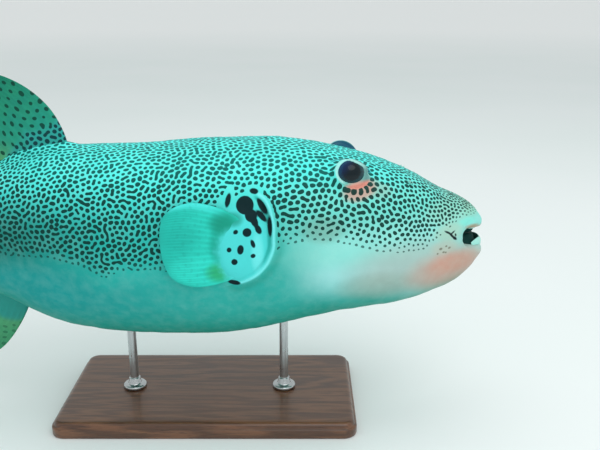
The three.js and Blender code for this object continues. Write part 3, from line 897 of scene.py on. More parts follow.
def head_tints(n, behind, level):
    """The white cheek, the salmon chin, the small tints of the snout and lips, and painted shade under the
    head.
    """
    cheek = n.times(n.fade(behind, 206, 144), n.fade(level, 34, 0))
    n.tint(cheek, CHEEK, n.fade(level, -64, -24))
    n.tint(n.fade(behind, 120, 50), CHEEK, n.fade(level, 30, 8))
    net = n.times(n.fade(behind, 228, 150), n.fade(level, 70, 40))
    n.tint(net, PALE_NET, n.fade(level, -30, -6, 0, 0.6))
    for centre, half_sizes, strength, color in HEAD_TINTS:
        n.tint(n.patch(behind, level, centre, half_sizes), color, strength)
    # painted shade on the downward-facing skin under the head, by the plain form's normal
    under = n.times(n.fade(n.value("down"), 0.32, 0.88), n.fade(behind, 10, 30))
    n.tint(under, n.mix(n.fade(behind, 40, 100), srgb(104, 142, 118), UNDERSIDE_SHADE), 0.8)


def eye_tints(n):
    """The bare ring round each eye: grey in front, salmon below, a pale line along the upper lid that is
    partly its own pale margin and partly painted highlight, and painted shade on the inner side of each
    bulge.
    """
    forward, up, opening = n.values("eye_forward", "eye_up", "opening")
    tilted = n.plus(up, n.times(forward, -0.22))
    n.tint(n.patch(forward, up, (27, -15), (17, 13)), srgb(156, 182, 166), 0.55)
    n.tint(n.patch(forward, tilted, (8, -18), (20, 13), 0.2), srgb(206, 156, 142), 0.85)
    ring_sizes = (SOCKET["half_length"] * 1.06, SOCKET["half_height"] * 1.08)
    ring = n.patch(forward, up, (SOCKET["forward"], -SOCKET["down"]), ring_sizes, 0.78)
    grey = n.mix(n.fade(forward, -4, 16), srgb(104, 190, 180), srgb(108, 160, 156))
    low = n.times(n.fade(tilted, -9, -13.5), n.fade(forward, -11, 0))
    salmon = n.mix(n.patchy(4, 3, 0.35, 0.65), srgb(216, 140, 126), srgb(232, 156, 140))
    n.tint(ring, n.mix(low, grey, salmon))
    # pale edge of the upper and rear lid: partly the lid's own pale margin, partly a painted highlight along
    # its crest
    upper = n.times(n.fade(opening, 1.2, 1.08), n.fade(n.minus(up, n.times(forward, 0.1)), 0, 6))
    rear = n.times(n.fade(opening, 1.12, 1.06), n.fade(forward, -4, -9))
    n.tint(n.math("MAXIMUM", upper, rear), srgb(176, 236, 230), 0.75)
    # painted shade on the part of each bulge that faces the other eye
    shade = n.mix(n.fade(n.value("level"), 76.5, 71.5), srgb(6, 86, 80), srgb(4, 70, 100))
    n.tint(n.value("dark_lid"), shade, 0.95)


def gill_tints(n):
    """The pale lobe under the pectoral fin, the bright rim of the gill opening, painted shade in its slit
    and a painted shadow in front of the rim.
    """
    gill, place, behind, level = n.values("gill", "gill_place", "behind", "level")
    within = n.times(n.fade(place, 0.0, 0.05), n.fade(place, 1.0, 0.95))
    n.tint(n.patch(behind, level, (231, 5), (29, 44), 0.35), LOBE_COLOR, n.fade(gill, -2, 2))
    n.tint(n.patch(behind, level, (219, -2), (7, 24)), RIM_COLOR, n.times(within, 0.7))
    # painted shade where the pectoral fin's root meets the skin above the lobe
    n.tint(n.patch(behind, level, (240, 29), (11, 8)), FOLD_SHADE, 0.75)
    slit = n.times(within, n.fade(place, 0.85, 0.5, 0.12, 0.75))
    # painted shade in the slit behind the rim
    n.tint(n.around(gill, 3.4, 2.6), srgb(20, 156, 146), slit)
    # painted shadow on the cheek side in front of the rim
    n.tint(n.times(n.around(gill, -7, 6), n.fade(place, 0.35, 0.6)), srgb(20, 136, 118), 0.35)
    n.tint(n.times(n.around(gill, -0.4, 2.6), within), RIM_COLOR, 0.95)


def skin_material():
    n = Nodes("pufferfish_skin", FLANK)
    behind, level, above, section = n.values("behind", "level", "above", "section")
    # painted light: the ground turns lighter towards the top of the back, as if lit from above
    n.tint(n.fade(level, 8, 72), BACK_TONE_AND_TOP_LIGHT)
    # painted shade on the upper rear of the flank and over the tail stalk
    rear = n.times(n.fade(behind, 320, 470), n.fade(level, 54, 6))
    n.tint(n.math("MAXIMUM", rear, n.fade(behind, 450, 600)), REAR_SHADE)
    n.tint(n.fade(above, 8, -24), n.mix(n.fade(behind, 240, 430), BELLY, BELLY_REAR))
    head_tints(n, behind, level)
    n.tint(n.patchy(42, 3, 0.35, 0.65, 0, 0.1), srgb(34, 138, 132))
    n.tint(n.patchy(9, 4, 0.4, 0.7, 0, 0.07), srgb(190, 236, 226))
    gill_tints(n)
    eye_tints(n)
    edge = n.patchy(2.0, 2, 0.2, 0.8, -0.07, 0.07)
    spot = n.fade(n.plus(n.value("spot"), edge), -0.09, 0.09)
    # the spots turn lighter towards the top: painted light from above
    n.tint(spot, n.mix(n.fade(level, 44, 82), SPOT, SPOT_TOP_LIGHT), n.fade(above, -2, 12, 0.72, 0.97))
    n.tint(n.fade(n.plus(n.value("pink"), edge), -0.3, 0.4), srgb(112, 112, 96), 0.8)
    n.tint(n.fade(n.plus(n.value("blotch"), n.times(edge, 1.5)), -0.4, 0.4), BLACK_MARK, 0.98)
    n.tint(n.times(n.fade(section, 4.3, 3.4), n.fade(level, -2, 2)), srgb(190, 134, 104), 0.7)
    # painted shade on the skin inside the lips
    n.tint(n.fade(section, 3.1, 2.3), MOUTH_SHADE)
    grain = n.plus(n.noise(1.1, 3), n.cells(2.4))
    return n.finish(n.patchy(6, 3, 0.3, 0.7, 0.5, 0.66), n.bump(grain, 0.12, 0.6), Specular_IOR_Level=0.12)


# ---- fins ----
def spline(points, t):
    """Catmull-Rom curve through points of a plane, for t from 0 to 1."""
    points = np.asarray(points, float)
    last = len(points) - 1
    place = np.clip(t, 0, 1) * last
    i = np.minimum(place.astype(int), last - 1)
    f = (place - i)[..., None]
    before, here = points[np.maximum(i - 1, 0)], points[i]
    there, after = points[i + 1], points[np.minimum(i + 2, last)]
    start, end = (there - before) / 2, (after - here) / 2
    cubic = (2 * here - 2 * there + start + end) * f**3
    return cubic + (-3 * here + 3 * there - 2 * start - end) * f**2 + start * f + here


def patch(edges, w, r):
    """Points of the patch inside a fin's four edges. w runs across the rays and r along them."""
    front, rear = spline(edges["leading"], r), spline(edges["trailing"], r)
    root, margin = spline(edges["root"], w), spline(edges["margin"], w)
    w, r = w[..., None], r[..., None]
    flat = front * (1 - w) + rear * w + root * (1 - r) + margin * r
    for end, share in ((0, 1 - r), (-1, r)):
        first, last = (np.asarray(edges[key][end], float) for key in ("leading", "trailing"))
        flat -= (first * (1 - w) + last * w) * share
    return flat


DORSAL = {
    "root": [(-33, 72), (-62, 62), (-90, 48)],
    "leading": [(-33, 72), (-38, 94), (-49, 116), (-67, 134), (-89, 146), (-112, 151.5)],
    "margin": [(-112, 151.5), (-129, 151), (-142, 142), (-149, 126), (-145, 106)],
    "trailing": [(-90, 48), (-104, 58), (-122, 75), (-145, 106)],
}
ANAL = {
    "root": [(-82, -66), (-108, -56), (-134, -46)],
    "leading": [(-82, -66), (-91, -90), (-103, -111), (-118, -130), (-137, -145)],
    "margin": [(-137, -145), (-152, -151), (-165, -147), (-171, -134), (-168, -118)],
    "trailing": [(-134, -46), (-141, -72), (-154, -96), (-168, -118)],
}
TAIL_FIN = {
    "root": [(-214, 25), (-214, -3), (-214, -31)],
    "leading": [(-214, 25), (-262, 38), (-310, 53), (-344, 60)],
    "margin": [(-344, 60), (-360, 49), (-368, 25), (-370, -3), (-368, -31), (-360, -55), (-344, -66)],
    "trailing": [(-214, -31), (-262, -44), (-310, -59), (-344, -66)],
}
PECTORAL = {  # behind the root, level
    "root": [(4, 22), (10, 14), (16, 3), (15, -10), (9, -22)],
    "leading": [(4, 22), (11, 29.5), (22, 35.5), (36, 40), (49, 42), (60, 40.5), (69, 37)],
    "margin": [(69, 37), (76, 30), (78.5, 19), (78.5, 5), (76, -10), (71, -22), (63, -30.5)],
    "trailing": [(9, -22), (19, -29), (31, -33), (43, -34.5), (54, -33.5), (63, -30.5)],
}
PECTORAL_ROOT = (226, 2)  # behind the snout, level
PECTORAL_LIFT = 0.1  # how fast the fin stands away from the flank
PECTORAL_SECTION = 14  # section number of the flank under the fin
FLANK_SECTIONS = (13, 19)  # section numbers from the eyes to the dorsal fin
FLANK_LEVELS = np.linspace(-70, 70, 141)
PECTORAL_BURIED = 6  # length of the root that lies in the flank
PECTORAL_CUP = 2.2
PECTORAL_DOTS = {"pitch": 7.5, "stretch": 1.0, "lean": 20, "seed": 41}
FLANK_GRID = (90, 361)  # rows and columns of the flank that a pectoral fin is laid on
PECTORAL_GRID = (170, 210)
PECTORAL_RAYS = {"rays": 17, "split_at": 0.55}
PECTORAL_SUNK = 1.7  # depth of the buried root under the skin
PECTORAL_EDGES = {"root": 1.4, "edge": 0.4}  # half thickness
CLOSE_PITCH = 6.0  # of the spots on the fleshy part of a fin
CLOSE_BIAS = -0.62
FIN_EDGE = 0.35  # half thickness of a median fin at its edges
RAY_HEIGHT = 0.3  # how far a median fin's rays stand out, and a pectoral fin's
PECTORAL_RAY_HEIGHT = 0.17
RAY_JOINTS = 26
RIM_SHARE = 0.02  # of a fin's length that is rounded off at its rim
RIM_LEFT = 0.4  # of the thickness, at the very rim
THINNING = 1.7  # power by which a fin thins from its root
FORK_SPAN = (-0.12, 0.22)  # where a ray forks, about its middle, as a share of the fin's length


def flank_side(behind, level):
    """Half width of the plain body, at places between the eyes and the dorsal fin."""
    rows, columns = FLANK_GRID
    rings = body_points(np.linspace(*FLANK_SECTIONS, rows), np.linspace(-np.pi / 2, np.pi / 2, columns))
    table = np.stack([np.interp(FLANK_LEVELS, ring[:, 2], ring[:, 1]) for ring in rings])
    row = np.interp(behind, rings[:, 0, 0], np.arange(len(rings)))
    column = np.interp(level, FLANK_LEVELS, np.arange(len(FLANK_LEVELS)))
    i, j = (np.minimum(place.astype(int), size - 2) for place, size in zip((row, column), table.shape))
    f, g = row - i, column - j
    low = table[i, j] * (1 - g) + table[i, j + 1] * g
    high = table[i + 1, j] * (1 - g) + table[i + 1, j + 1] * g
    return low * (1 - f) + high * f


def arch(w):
    """A half circle over the fin's width: 0 at its two edges and 1 in the middle."""
    return np.sqrt(np.clip(4 * w * (1 - w), 0, 1))


def half_thickness(w, r, root, edge):
    """Half a fin's thickness: fleshy at the root, thin at its edges, closing to a round rim."""
    round_rim = np.sqrt(np.clip((1 - r) / RIM_SHARE, 0, 1)) * (1 - RIM_LEFT) + RIM_LEFT
    return (edge + (root - edge) * (1 - r) ** THINNING * arch(w)) * round_rim


def ray_pattern(w, r, rays, split_at):
    """1 on a fin ray and 0 between two; each ray forks in two beyond split_at and again at the margin."""
    turns = 2 * np.pi * rays * w
    fork = smooth(r, split_at + FORK_SPAN[0], split_at + FORK_SPAN[1])
    crest = (1 - fork) * np.cos(turns) + fork * np.cos(2 * turns + np.pi)
    again = smooth(r, 0.82, 1.0) * 0.6
    crest = (1 - again) * crest + again * np.cos(4 * turns)
    return np.clip(0.5 - 0.5 * crest, 0, 1) ** 1.6


def web_object(name, middle, outward, thickness, attributes, material, node):
    """A closed fin, tooth or flap from its middle surface, a direction across it and half its thickness."""
    rows, columns = middle.shape[:2]
    count = rows * columns
    quads, uvs = grid_faces(rows, columns, False)
    groups = [  # the two faces side by side on the map, and the four edges in strips above them
        (quads, uvs * FACE_MAP + (MAP_GAP, MAP_GAP)),
        (quads[:, ::-1] + count, uvs[:, ::-1] * FACE_MAP + (0.5 + MAP_GAP, MAP_GAP)),
    ]
    numbers = np.arange(count).reshape(rows, columns)
    for k, strip in enumerate((numbers[0, ::-1], numbers[:, 0], numbers[-1], numbers[::-1, -1])):
        near, far = strip[:-1], strip[1:]
        t = np.arange(len(strip)) / (len(strip) - 1) * EDGE_MAP_LENGTH + 0.25 * k + MAP_GAP
        across = (t[:-1], t[1:], t[1:], t[:-1])
        corners = [np.stack([a, np.full(len(near), b)], axis=1) for a, b in zip(across, EDGE_MAP_LEVELS)]
        groups.append((np.stack([near, far, far + count, near + count], axis=1), np.stack(corners, axis=1)))
    half = np.asarray(outward) * thickness[..., None]
    points = np.concatenate([(middle + half).reshape(-1, 3), (middle - half).reshape(-1, 3)])
    doubled = {key: np.tile(np.ravel(values), 2) for key, values in attributes.items()}
    doubled["face"] = np.repeat([1.0, -1.0], count)
    web = make_object(name, to_world(points), groups, doubled, material)
    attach(web, "root")
    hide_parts(node)


def fin_grid(rows, columns):
    r, w = np.meshgrid(np.linspace(0, 1, rows), np.linspace(0, 1, columns), indexing="ij")
    return w, r


def dotted_rows(points, pitch, stretch, lean, seed):
    """Dots in slightly wandering diagonal rows; above zero in a dot."""
    along, over = (
        place + 0.28 * pitch * waves(points, 5 * pitch, seed + k)
        for k, place in enumerate(turned(points[..., 0], points[..., 2], lean))
    )
    turn, row = 2 * np.pi * along / (pitch * stretch), np.pi * over * stretch / pitch
    dots = 2 * np.cos(turn) * np.cos(row) + np.cos(2 * row)
    return dots / 3 - 0.47 + 0.13 * waves(points, 1.6 * pitch, seed + 2)


def median_fin(name, look, colors):
    """A fin in the fish's middle plane: dorsal, anal or tail."""
    w, r = fin_grid(*look["grid"])
    flat = patch(look["edges"], w, r)
    seed = look["seed"]
    ripple = look["wave"] * smooth(r, 0.15, 1.0) * np.sin(2.2 * np.pi * w + 1.3 * r + seed)
    ripple += 0.3 * look["wave"] * smooth(r, 0.4, 1) * np.sin(2 * np.pi * look["rays"] / 2.5 * w + seed)
    middle = np.stack([SNOUT - flat[..., 0], ripple, flat[..., 1]], axis=-1)
    rays_here = ray_pattern(w, r, look["rays"], 0.5)
    joints = 1 - 0.3 * smooth(r, 0.2, 0.4) * (0.5 + 0.5 * np.cos(2 * np.pi * r * RAY_JOINTS)) ** 6
    fade = smooth(r, 0.14, 0.36) * (1 - 0.5 * r)
    thickness = half_thickness(w, r, look["root"], FIN_EDGE) + RAY_HEIGHT * rays_here * joints * fade
    fleshy = 1 - smooth(r + 0.03 * waves(middle, 20, seed), look["fleshy"] - 0.05, look["fleshy"] + 0.06)
    pitch, bias = np.full(w.shape, CLOSE_PITCH), np.full(w.shape, CLOSE_BIAS)
    close = grow_spots(middle, pitch, bias, closed=False, seed=seed)
    rows = dotted_rows(middle, look["pitch"], look["stretch"], look["lean"], seed)
    spots = fleshy * (close / (2 * close.std()) + look["flesh_spots"]) + (1 - fleshy) * rows
    attributes = {"spot": spots, "ray": rays_here, "run": r, "across": w, "fleshy": fleshy}
    material = median_fin_material(look["finish"], colors)
    outward = (0, look["outward"], 0)
    web_object(f"{name}_web", middle, outward, thickness, attributes, material, f"{name}_fin")


def pectoral_face(flat, w, r):
    """Sideways place of the fin's outer face: it leaves the flank gently, then stands off a little."""
    back, level = flat[..., 0], PECTORAL_ROOT[1] + flat[..., 1]
    behind = PECTORAL_ROOT[0] + back
    plain = flank_side(behind, level)
    on_flank = np.stack([behind, plain, level], axis=-1)
    relief = skin_relief(on_flank, np.full(back.shape, PECTORAL_SECTION))
    root = spline(PECTORAL["root"], w)
    rooted = lengths(flat - root)
    clear = np.maximum(rooted - PECTORAL_BURIED, 0)
    rise = -PECTORAL_SUNK * (1 - smooth(rooted, 0, PECTORAL_BURIED + 1.5)) + PECTORAL_LIFT * clear
    rise += PECTORAL_CUP * np.sin(np.pi * np.clip(clear / 70, 0, 1)) * (0.3 + 0.7 * arch(w))
    rise -= 0.8 * hump(clear, 12, 6) * hump(level, 2, 14)
    ripple = 0.6 * smooth(r, 0.3, 1) * np.sin(7 * w + 2 * r) + 0.35 * smooth(r, 0.5, 1) * np.sin(23 * w)
    return plain + relief + rise + ripple, rooted


def pectoral_fin(side, material):
    w, r = fin_grid(*PECTORAL_GRID)
    flat = patch(PECTORAL, w, r)
    back, level = flat[..., 0], flat[..., 1]
    face, rooted = pectoral_face(flat, w, r)
    rays_here = ray_pattern(w, r, **PECTORAL_RAYS)
    thickness = half_thickness(w, r, **PECTORAL_EDGES)
    raised = PECTORAL_RAY_HEIGHT * rays_here * smooth(r, 0.25, 0.5) * (1 - 0.5 * r)
    behind, out = PECTORAL_ROOT[0] + back, side * (face - thickness)
    middle = np.stack([behind, out, PECTORAL_ROOT[1] + level], axis=-1)
    attributes = {
        "spot": dotted_rows(middle, **PECTORAL_DOTS), "ray": rays_here, "run": r, "across": w, "back": back,
        "level": level, "rooted": rooted,
    }
    name, half = SIDE_NAMES[side], thickness + raised
    node = f"pectoral_fin_{name}"
    web_object(f"pectoral_{name}", middle, (0, side, 0), half, attributes, material, node)


def ray_lines(n, color, strength):
    """Faint lines between a fin's rays."""
    between = n.times(n.minus(1.0, n.value("ray")), n.patchy(9, 4, 0.3, 0.7, 0.35, 1.0))
    n.tint(between, color, n.fade(n.value("run"), 0.15, 0.4, 0.0, strength))


def finish_fin(n):
    """The satin surface that every fin shares."""
    normal = n.bump(n.noise(1.0, 3), 0.1, 0.5)
    return n.finish(n.patchy(5, 2, 0.3, 0.7, 0.45, 0.6), normal, Specular_IOR_Level=0.15)


def median_fin_material(name, colors):
    n = Nodes(name, colors["inner"])
    run, across, fleshy = n.values("run", "across", "fleshy")
    n.tint(n.fade(run, 0.2, 0.8), colors["outer"])
    n.tint(n.fade(run, 0.6, 0.1), colors["tint"], n.fade(across, 0.55, 0.95))
    n.tint(n.patchy(16, 3, 0.35, 0.65, 0, 0.25), colors["mottle"])
    n.tint(fleshy, colors["flesh"], 0.8)
    ray_lines(n, colors["spot"], 0.16)
    n.tint(n.fade(run, 0.955, 0.985), colors["rim"])
    share = n.times(n.fade(n.value("spot"), -0.1, 0.12), n.fade(run, 0.97, 0.9))
    n.tint(share, n.mix(fleshy, colors["spot"], srgb(2, 40, 50)), colors["share"])
    return finish_fin(n)


PECTORAL_TINTS = (  # behind the root and level of an oval's middle, its half sizes, strength, colour
    ((46, -18), (36, 18), 0.7, srgb(54, 228, 210)),  # lower part
    ((62, 12), (26, 16), 0.35, srgb(30, 172, 158)),
    ((22, 24), (18, 13), 0.85, FOLD_SHADE),  # shaded folds near the root
    ((28, 4), (10, 20), 0.55, FOLD_SHADE),
    ((24, -14), (12, 10), 0.2, FOLD_SHADE),
    ((28, -21), (15, 12), 0.8, srgb(44, 168, 92)),  # green lower edge
)


def pectoral_material():
    n = Nodes("pectoral_finish", srgb(44, 208, 190))
    run, across, back, level = n.values("run", "across", "back", "level")
    n.tint(n.fade(back, 34, 70), srgb(36, 192, 176))
    for centre, half_sizes, strength, color in PECTORAL_TINTS:
        n.tint(n.patch(back, level, centre, half_sizes), color, strength)
    ray_lines(n, srgb(16, 130, 116), 0.34)
    n.tint(n.times(n.fade(across, 0.14, 0.03), n.fade(back, 18, 40)), srgb(76, 230, 224), 0.75)
    root = n.plus(n.value("rooted"), n.patchy(6, 3, 0.3, 0.7, -2.5, 2.5))
    n.tint(n.fade(root, 18, 6), LOBE_COLOR, n.fade(level, 24, 13))
    n.tint(n.fade(run, 0.86, 1.0, 0, 0.5), srgb(36, 170, 158))
    dots = n.times(n.fade(n.value("spot"), 0.02, 0.3), n.times(n.fade(back, 24, 44), n.fade(back, 78, 60)))
    n.tint(dots, srgb(10, 96, 88), 0.1)
    return finish_fin(n)


# grid: points along and across the rays; wave: height of the ripples; root: half thickness at the root;
# pitch, stretch and lean: of the rows of dots; fleshy: share of the fin's length with the body's own skin;
# flesh_spots: how readily that skin has spots; finish: the material's name
FIN_LOOKS = {
    "dorsal": {
        "edges": DORSAL, "rays": 11, "grid": (160, 180), "outward": 1, "finish": "dorsal_finish",
        "wave": 1.6, "root": 7, "pitch": 8.6, "stretch": 1.22, "lean": -52, "fleshy": 0.28,
        "flesh_spots": 0.08, "seed": 11,
    },
    "anal": {
        "edges": ANAL, "rays": 10, "grid": (150, 160), "outward": -1, "finish": "anal_finish",
        "wave": 1.4, "root": 10, "pitch": 8.8, "stretch": 1.2, "lean": -40, "fleshy": 0.34,
        "flesh_spots": -6, "seed": 12,
    },
    "tail": {
        "edges": TAIL_FIN, "rays": 10, "grid": (180, 210), "outward": 1, "finish": "tail_fin_finish",
        "wave": 2.4, "root": 15, "pitch": 8.6, "stretch": 1.15, "lean": 12, "fleshy": 0.2,
        "flesh_spots": 0.08, "seed": 13,
    },
}
DORSAL_COLORS = {
    "inner": srgb(36, 152, 132), "outer": srgb(26, 130, 106), "tint": srgb(132, 190, 92),
    "mottle": srgb(48, 160, 112), "flesh": srgb(48, 160, 156), "rim": srgb(92, 196, 176),
    "spot": srgb(4, 62, 50), "share": 0.92,
}
ANAL_COLORS = dict(
    DORSAL_COLORS, inner=srgb(84, 166, 118), outer=srgb(66, 146, 104), tint=srgb(150, 186, 96), share=0.45,
    flesh=srgb(28, 144, 144),
)
TAIL_COLORS = dict(
    DORSAL_COLORS, inner=srgb(44, 150, 134), tint=srgb(84, 168, 110), flesh=srgb(38, 138, 124),
)
FIN_COLORS = {"dorsal": DORSAL_COLORS, "anal": ANAL_COLORS, "tail": TAIL_COLORS}


def make_fins():
    for name, look in FIN_LOOKS.items():
        median_fin(name, look, FIN_COLORS[name])
    for side in SIDE_NAMES:
        pectoral_fin(side, pectoral_material())


# ---- eyes ----
PUPIL_RADIUS = 8.6
IRIS_RADIUS = 12.4
DOME_HEIGHT = 0.35  # of the clear dome over the ball
DOME_SPREAD = 0.6  # angle from the eye's axis to the dome's edge
EYE_GRID = (90, 128)
EYE_BACK = 20  # added to the distance from the eye's axis on the back half of the ball
POLE = 0.012  # angle from the eye's axis to the first ring


def make_eye(side, material):
    """The eyeball, clear dome and iris in one smooth surface round the eye's axis."""
    rows, columns = EYE_GRID
    angle = np.linspace(POLE, math.pi - POLE, rows)[:, None]
    turn = full_turn(columns)[None]
    radius = EYE_RADIUS + DOME_HEIGHT * np.exp(-((angle / DOME_SPREAD) ** 4))
    along = radius * np.cos(angle) + 0 * turn
    forward = radius * np.sin(angle) * np.cos(turn)
    up = radius * np.sin(angle) * np.sin(turn)
    axis, forward_way, up_way = eye_frame(side)
    offset = along_ways((along, axis), (forward, forward_way), (up, up_way))
    points = eye_centre(side) + offset * (1 - lowered_by(along, forward, up) / radius)[..., None]
    ends = eye_centre(side) + np.array([[EYE_RADIUS + DOME_HEIGHT], [-EYE_RADIUS]]) * axis
    away = np.hypot(forward, up) + np.where(along < 0, EYE_BACK, 0)
    attributes = {
        "away": with_ends(away, 0, EYE_BACK),
        "forward": with_ends(forward, 0, 0),
        "up": with_ends(up, 0, 0),
    }
    name = SIDE_NAMES[side]
    eye = tube_object(f"eyeball_{name}", to_world(points), to_world(ends), attributes, material, side > 0)
    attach(eye, "root")
    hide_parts(f"eye_{name}")


def eye_material():
    n = Nodes("eye_finish", srgb(1, 20, 27))
    away, up, forward = n.values("away", "up", "forward")
    wobble = n.plus(away, n.patchy(1.2, 3, 0.3, 0.7, -0.6, 0.6))
    painted_sheen = n.fade(n.minus(n.times(up, 0.8), forward), 0, 13)
    # painted blue sheen over the pupil, strongest at its upper front
    n.tint(painted_sheen, srgb(2, 40, 96), 0.6)  # the pupil
    iris = n.mix(n.patchy(1.4, 4, 0.35, 0.65), srgb(4, 44, 52), srgb(8, 64, 72))
    # the painted sheen also lies over the upper front of the iris
    iris = n.mix(n.times(painted_sheen, 0.5), iris, srgb(6, 62, 116))
    n.tint(n.fade(wobble, PUPIL_RADIUS - 1.2, PUPIL_RADIUS + 1.4), iris)
    white = n.mix(n.fade(forward, 2, 9), srgb(3, 28, 34), srgb(70, 128, 124))
    n.tint(n.fade(wobble, IRIS_RADIUS - 0.4, IRIS_RADIUS + 1.4), white)
    return n.finish(0.25, Coat_Weight=0.3, Coat_Roughness=0.12, Specular_IOR_Level=0.15)


# ---- teeth and nostrils ----
BEAK = {"half_width": 16, "curve": 11, "thickness": 3, "seam": 0.25}
TEETH = {"upper": (4.6, 0.5, 9), "lower": (1.0, -11.2, -22)}  # behind, cutting edge, root
CREST = {"upper": -0.5, "lower": 1}  # height of the curve of each cutting edge
TOOTH_GRID = (26, 60)


def make_teeth(material):
    w, r = fin_grid(*TOOTH_GRID)
    out = BEAK["seam"] + (BEAK["half_width"] - BEAK["seam"]) * w
    edge_round = np.sqrt(np.clip(1 - ((r - 0.2) / 0.8).clip(0) ** 4, 0.02, 1))
    sides = np.sqrt(np.clip(1 - (2 * w - 1) ** 10, 0.05, 1))
    thickness = BEAK["thickness"] / 2 * edge_round * sides
    for jaw, (behind, edge, root) in TEETH.items():
        back = behind + BEAK["curve"] * (out / BEAK["half_width"]) ** 2 + BEAK["thickness"] / 2
        back -= 0.8 * np.sin(np.pi * np.clip(r, 0, 1) ** 1.4)
        crest = edge + (1.4 * np.sin(0.85 * np.pi * w) - 2.4 * w**4) * CREST[jaw]
        for side, name in SIDE_NAMES.items():
            middle = np.stack([back, side * out, root + (crest - root) * r], axis=-1)
            facing = side if jaw == "upper" else -side
            attributes = {"run": r, "facing": np.full(w.shape, facing)}
            plate, node = f"beak_{jaw}_{name}", f"tooth_{jaw}_{name}"
            web_object(plate, middle, (facing, 0, 0), thickness, attributes, material, node)


def tooth_material():
    n = Nodes("tooth_finish", srgb(130, 222, 210))
    n.tint(n.fade(n.value("run"), 0.2, 1.0), srgb(166, 236, 226))
    n.tint(n.patchy((0.8, 0.8, 5), 3, 0.35, 0.65, 0, 0.4), srgb(150, 206, 184))
    # painted shade on the side of each beak plate that faces into the mouth
    n.tint(n.fade(n.times(n.value("face"), n.value("facing")), -0.4, 0.4), MOUTH_SHADE, 0.9)  # the inner side
    normal = n.bump(n.noise((0.6, 0.6, 4), 2), 0.08, 0.5)
    return n.finish(0.25, normal, Coat_Weight=0.3, Coat_Roughness=0.1)


NOSTRIL = {"behind": 77, "side": 32.5, "level": 52, "height": 5.2, "width": 6.0, "sunk": 1.6}
NOSTRIL_GRID = (30, 48)


def make_nostrils(skin_points, skin_normals, material):
    """A small forked flap standing on the skin over each nostril."""
    w, r = fin_grid(*NOSTRIL_GRID)
    notch = 1 - 0.62 * hump(w, 0.5, 0.17)
    lobes = np.sin(np.pi * np.clip(np.abs(2 * w - 1), 0.02, 0.98)) ** 0.4
    up = NOSTRIL["height"] * r * notch * (0.6 + 0.4 * lobes) - NOSTRIL["sunk"]
    across = (w - 0.5) * NOSTRIL["width"] * (1 - 0.2 * r)
    curl = 1.3 * r**2 * np.cos(np.pi * (w - 0.5))
    rounding = np.sqrt(np.clip(1 - r**6, 0.03, 1)) * np.sqrt(np.clip(1 - (2 * w - 1) ** 6, 0.03, 1))
    thickness = 0.95 * rounding * (1.3 - 0.5 * r)
    for side, name in SIDE_NAMES.items():
        place = nearest_place(skin_points, (NOSTRIL["behind"], side * NOSTRIL["side"], NOSTRIL["level"]))
        up_way = skin_normals[place]
        length_way = unit(np.cross(up_way, np.cross([1.0, 0, 0], up_way)))
        outward = np.cross(length_way, up_way)
        middle = skin_points[place] + along_ways((across, length_way), (up, up_way), (curl, outward))
        flap, node = f"nostril_flap_{name}", f"nostril_{name}"
        web_object(flap, middle, outward, thickness, {"run": r}, material, node)


def nostril_material():
    # starts from the back's colour, which carries painted light from above
    n = Nodes("nostril_finish", BACK_TONE_AND_TOP_LIGHT)
    n.tint(n.fade(n.value("run"), 0.0, 0.9), srgb(150, 220, 208))
    n.tint(n.fade(n.cells(2.6), 0.42, 0.3), SPOT)
    return n.finish(0.5, n.bump(n.noise(1, 2), 0.1, 0.5), Coat_Weight=0.12, Coat_Roughness=0.25)


skin_points, skin_normals = make_skin()
make_fins()
for eye_side in SIDE_NAMES:
    make_eye(eye_side, eye_material())
make_teeth(tooth_material())
make_nostrils(skin_points, skin_normals, nostril_material())

# ---- stand ----
CORNER = 14  # radius of the base's corners
BASE_EDGE = [  # inset from the outline, height
    (1.4, 0), (0.4, 0.5), (0, 1.5), (0, 8.4), (0.3, 9.3), (1.0, 9.8), (2.0, 10.0), (2.3, 10.6), (2.6, 12.2),
    (3.6, 13.8), (5.2, 14.7), (7.2, 15),
]
ROD_PROFILE = [  # radius, height
    (12, 0), (12, 2.4), (11.6, 3.3), (10.7, 3.9), (9.4, 4.1), (8.0, 4.1), (7.3, 4.5), (6.7, 5.6), (6.3, 7.2),
    (5.9, 7.6), (5.9, 10.4), (5.5, 10.9), (4.5, 11.1),
]
BASE_COLUMNS = 240
TOP_RINGS = (12, 20, 35, 50, 65)  # insets of further rings that carry the flat top inwards
LEAST_CORNER = 2
ROD_COLUMNS = 72
SHAFT_ROWS = 24
SHAFT_START = 0.5  # above the foot of a rod
BASE_LOW, BASE_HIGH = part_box("stand_base")


def stand_piece(name, rings, material, node):
    """A turned or moulded piece from rings, in metres, that run up from its foot."""
    ends = np.stack([rings[0].mean(axis=0), rings[-1].mean(axis=0)])
    piece = tube_object(name, rings, ends, {}, material)
    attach(piece, "root")
    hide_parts(node)


def base_rings():
    middle, half = (BASE_LOW + BASE_HIGH) / 2 / MM, (BASE_HIGH - BASE_LOW) / 2 / MM
    turn = full_turn(BASE_COLUMNS) + np.pi / BASE_COLUMNS
    across, along = np.sign(np.cos(turn)), np.sign(np.sin(turn))
    top = BASE_EDGE[-1][1]
    height = 2 * half.z / top
    rings = []
    for inset, level in BASE_EDGE + [(inset, top) for inset in TOP_RINGS]:
        corner = max(CORNER - inset, LEAST_CORNER)
        x = across * (half.x - inset - corner) + corner * np.cos(turn)
        y = along * (half.y - inset - corner) + corner * np.sin(turn)
        rings.append(np.stack([x + middle.x, y + middle.y, np.full(len(turn), level * height)], axis=1))
    return np.stack(rings) * MM


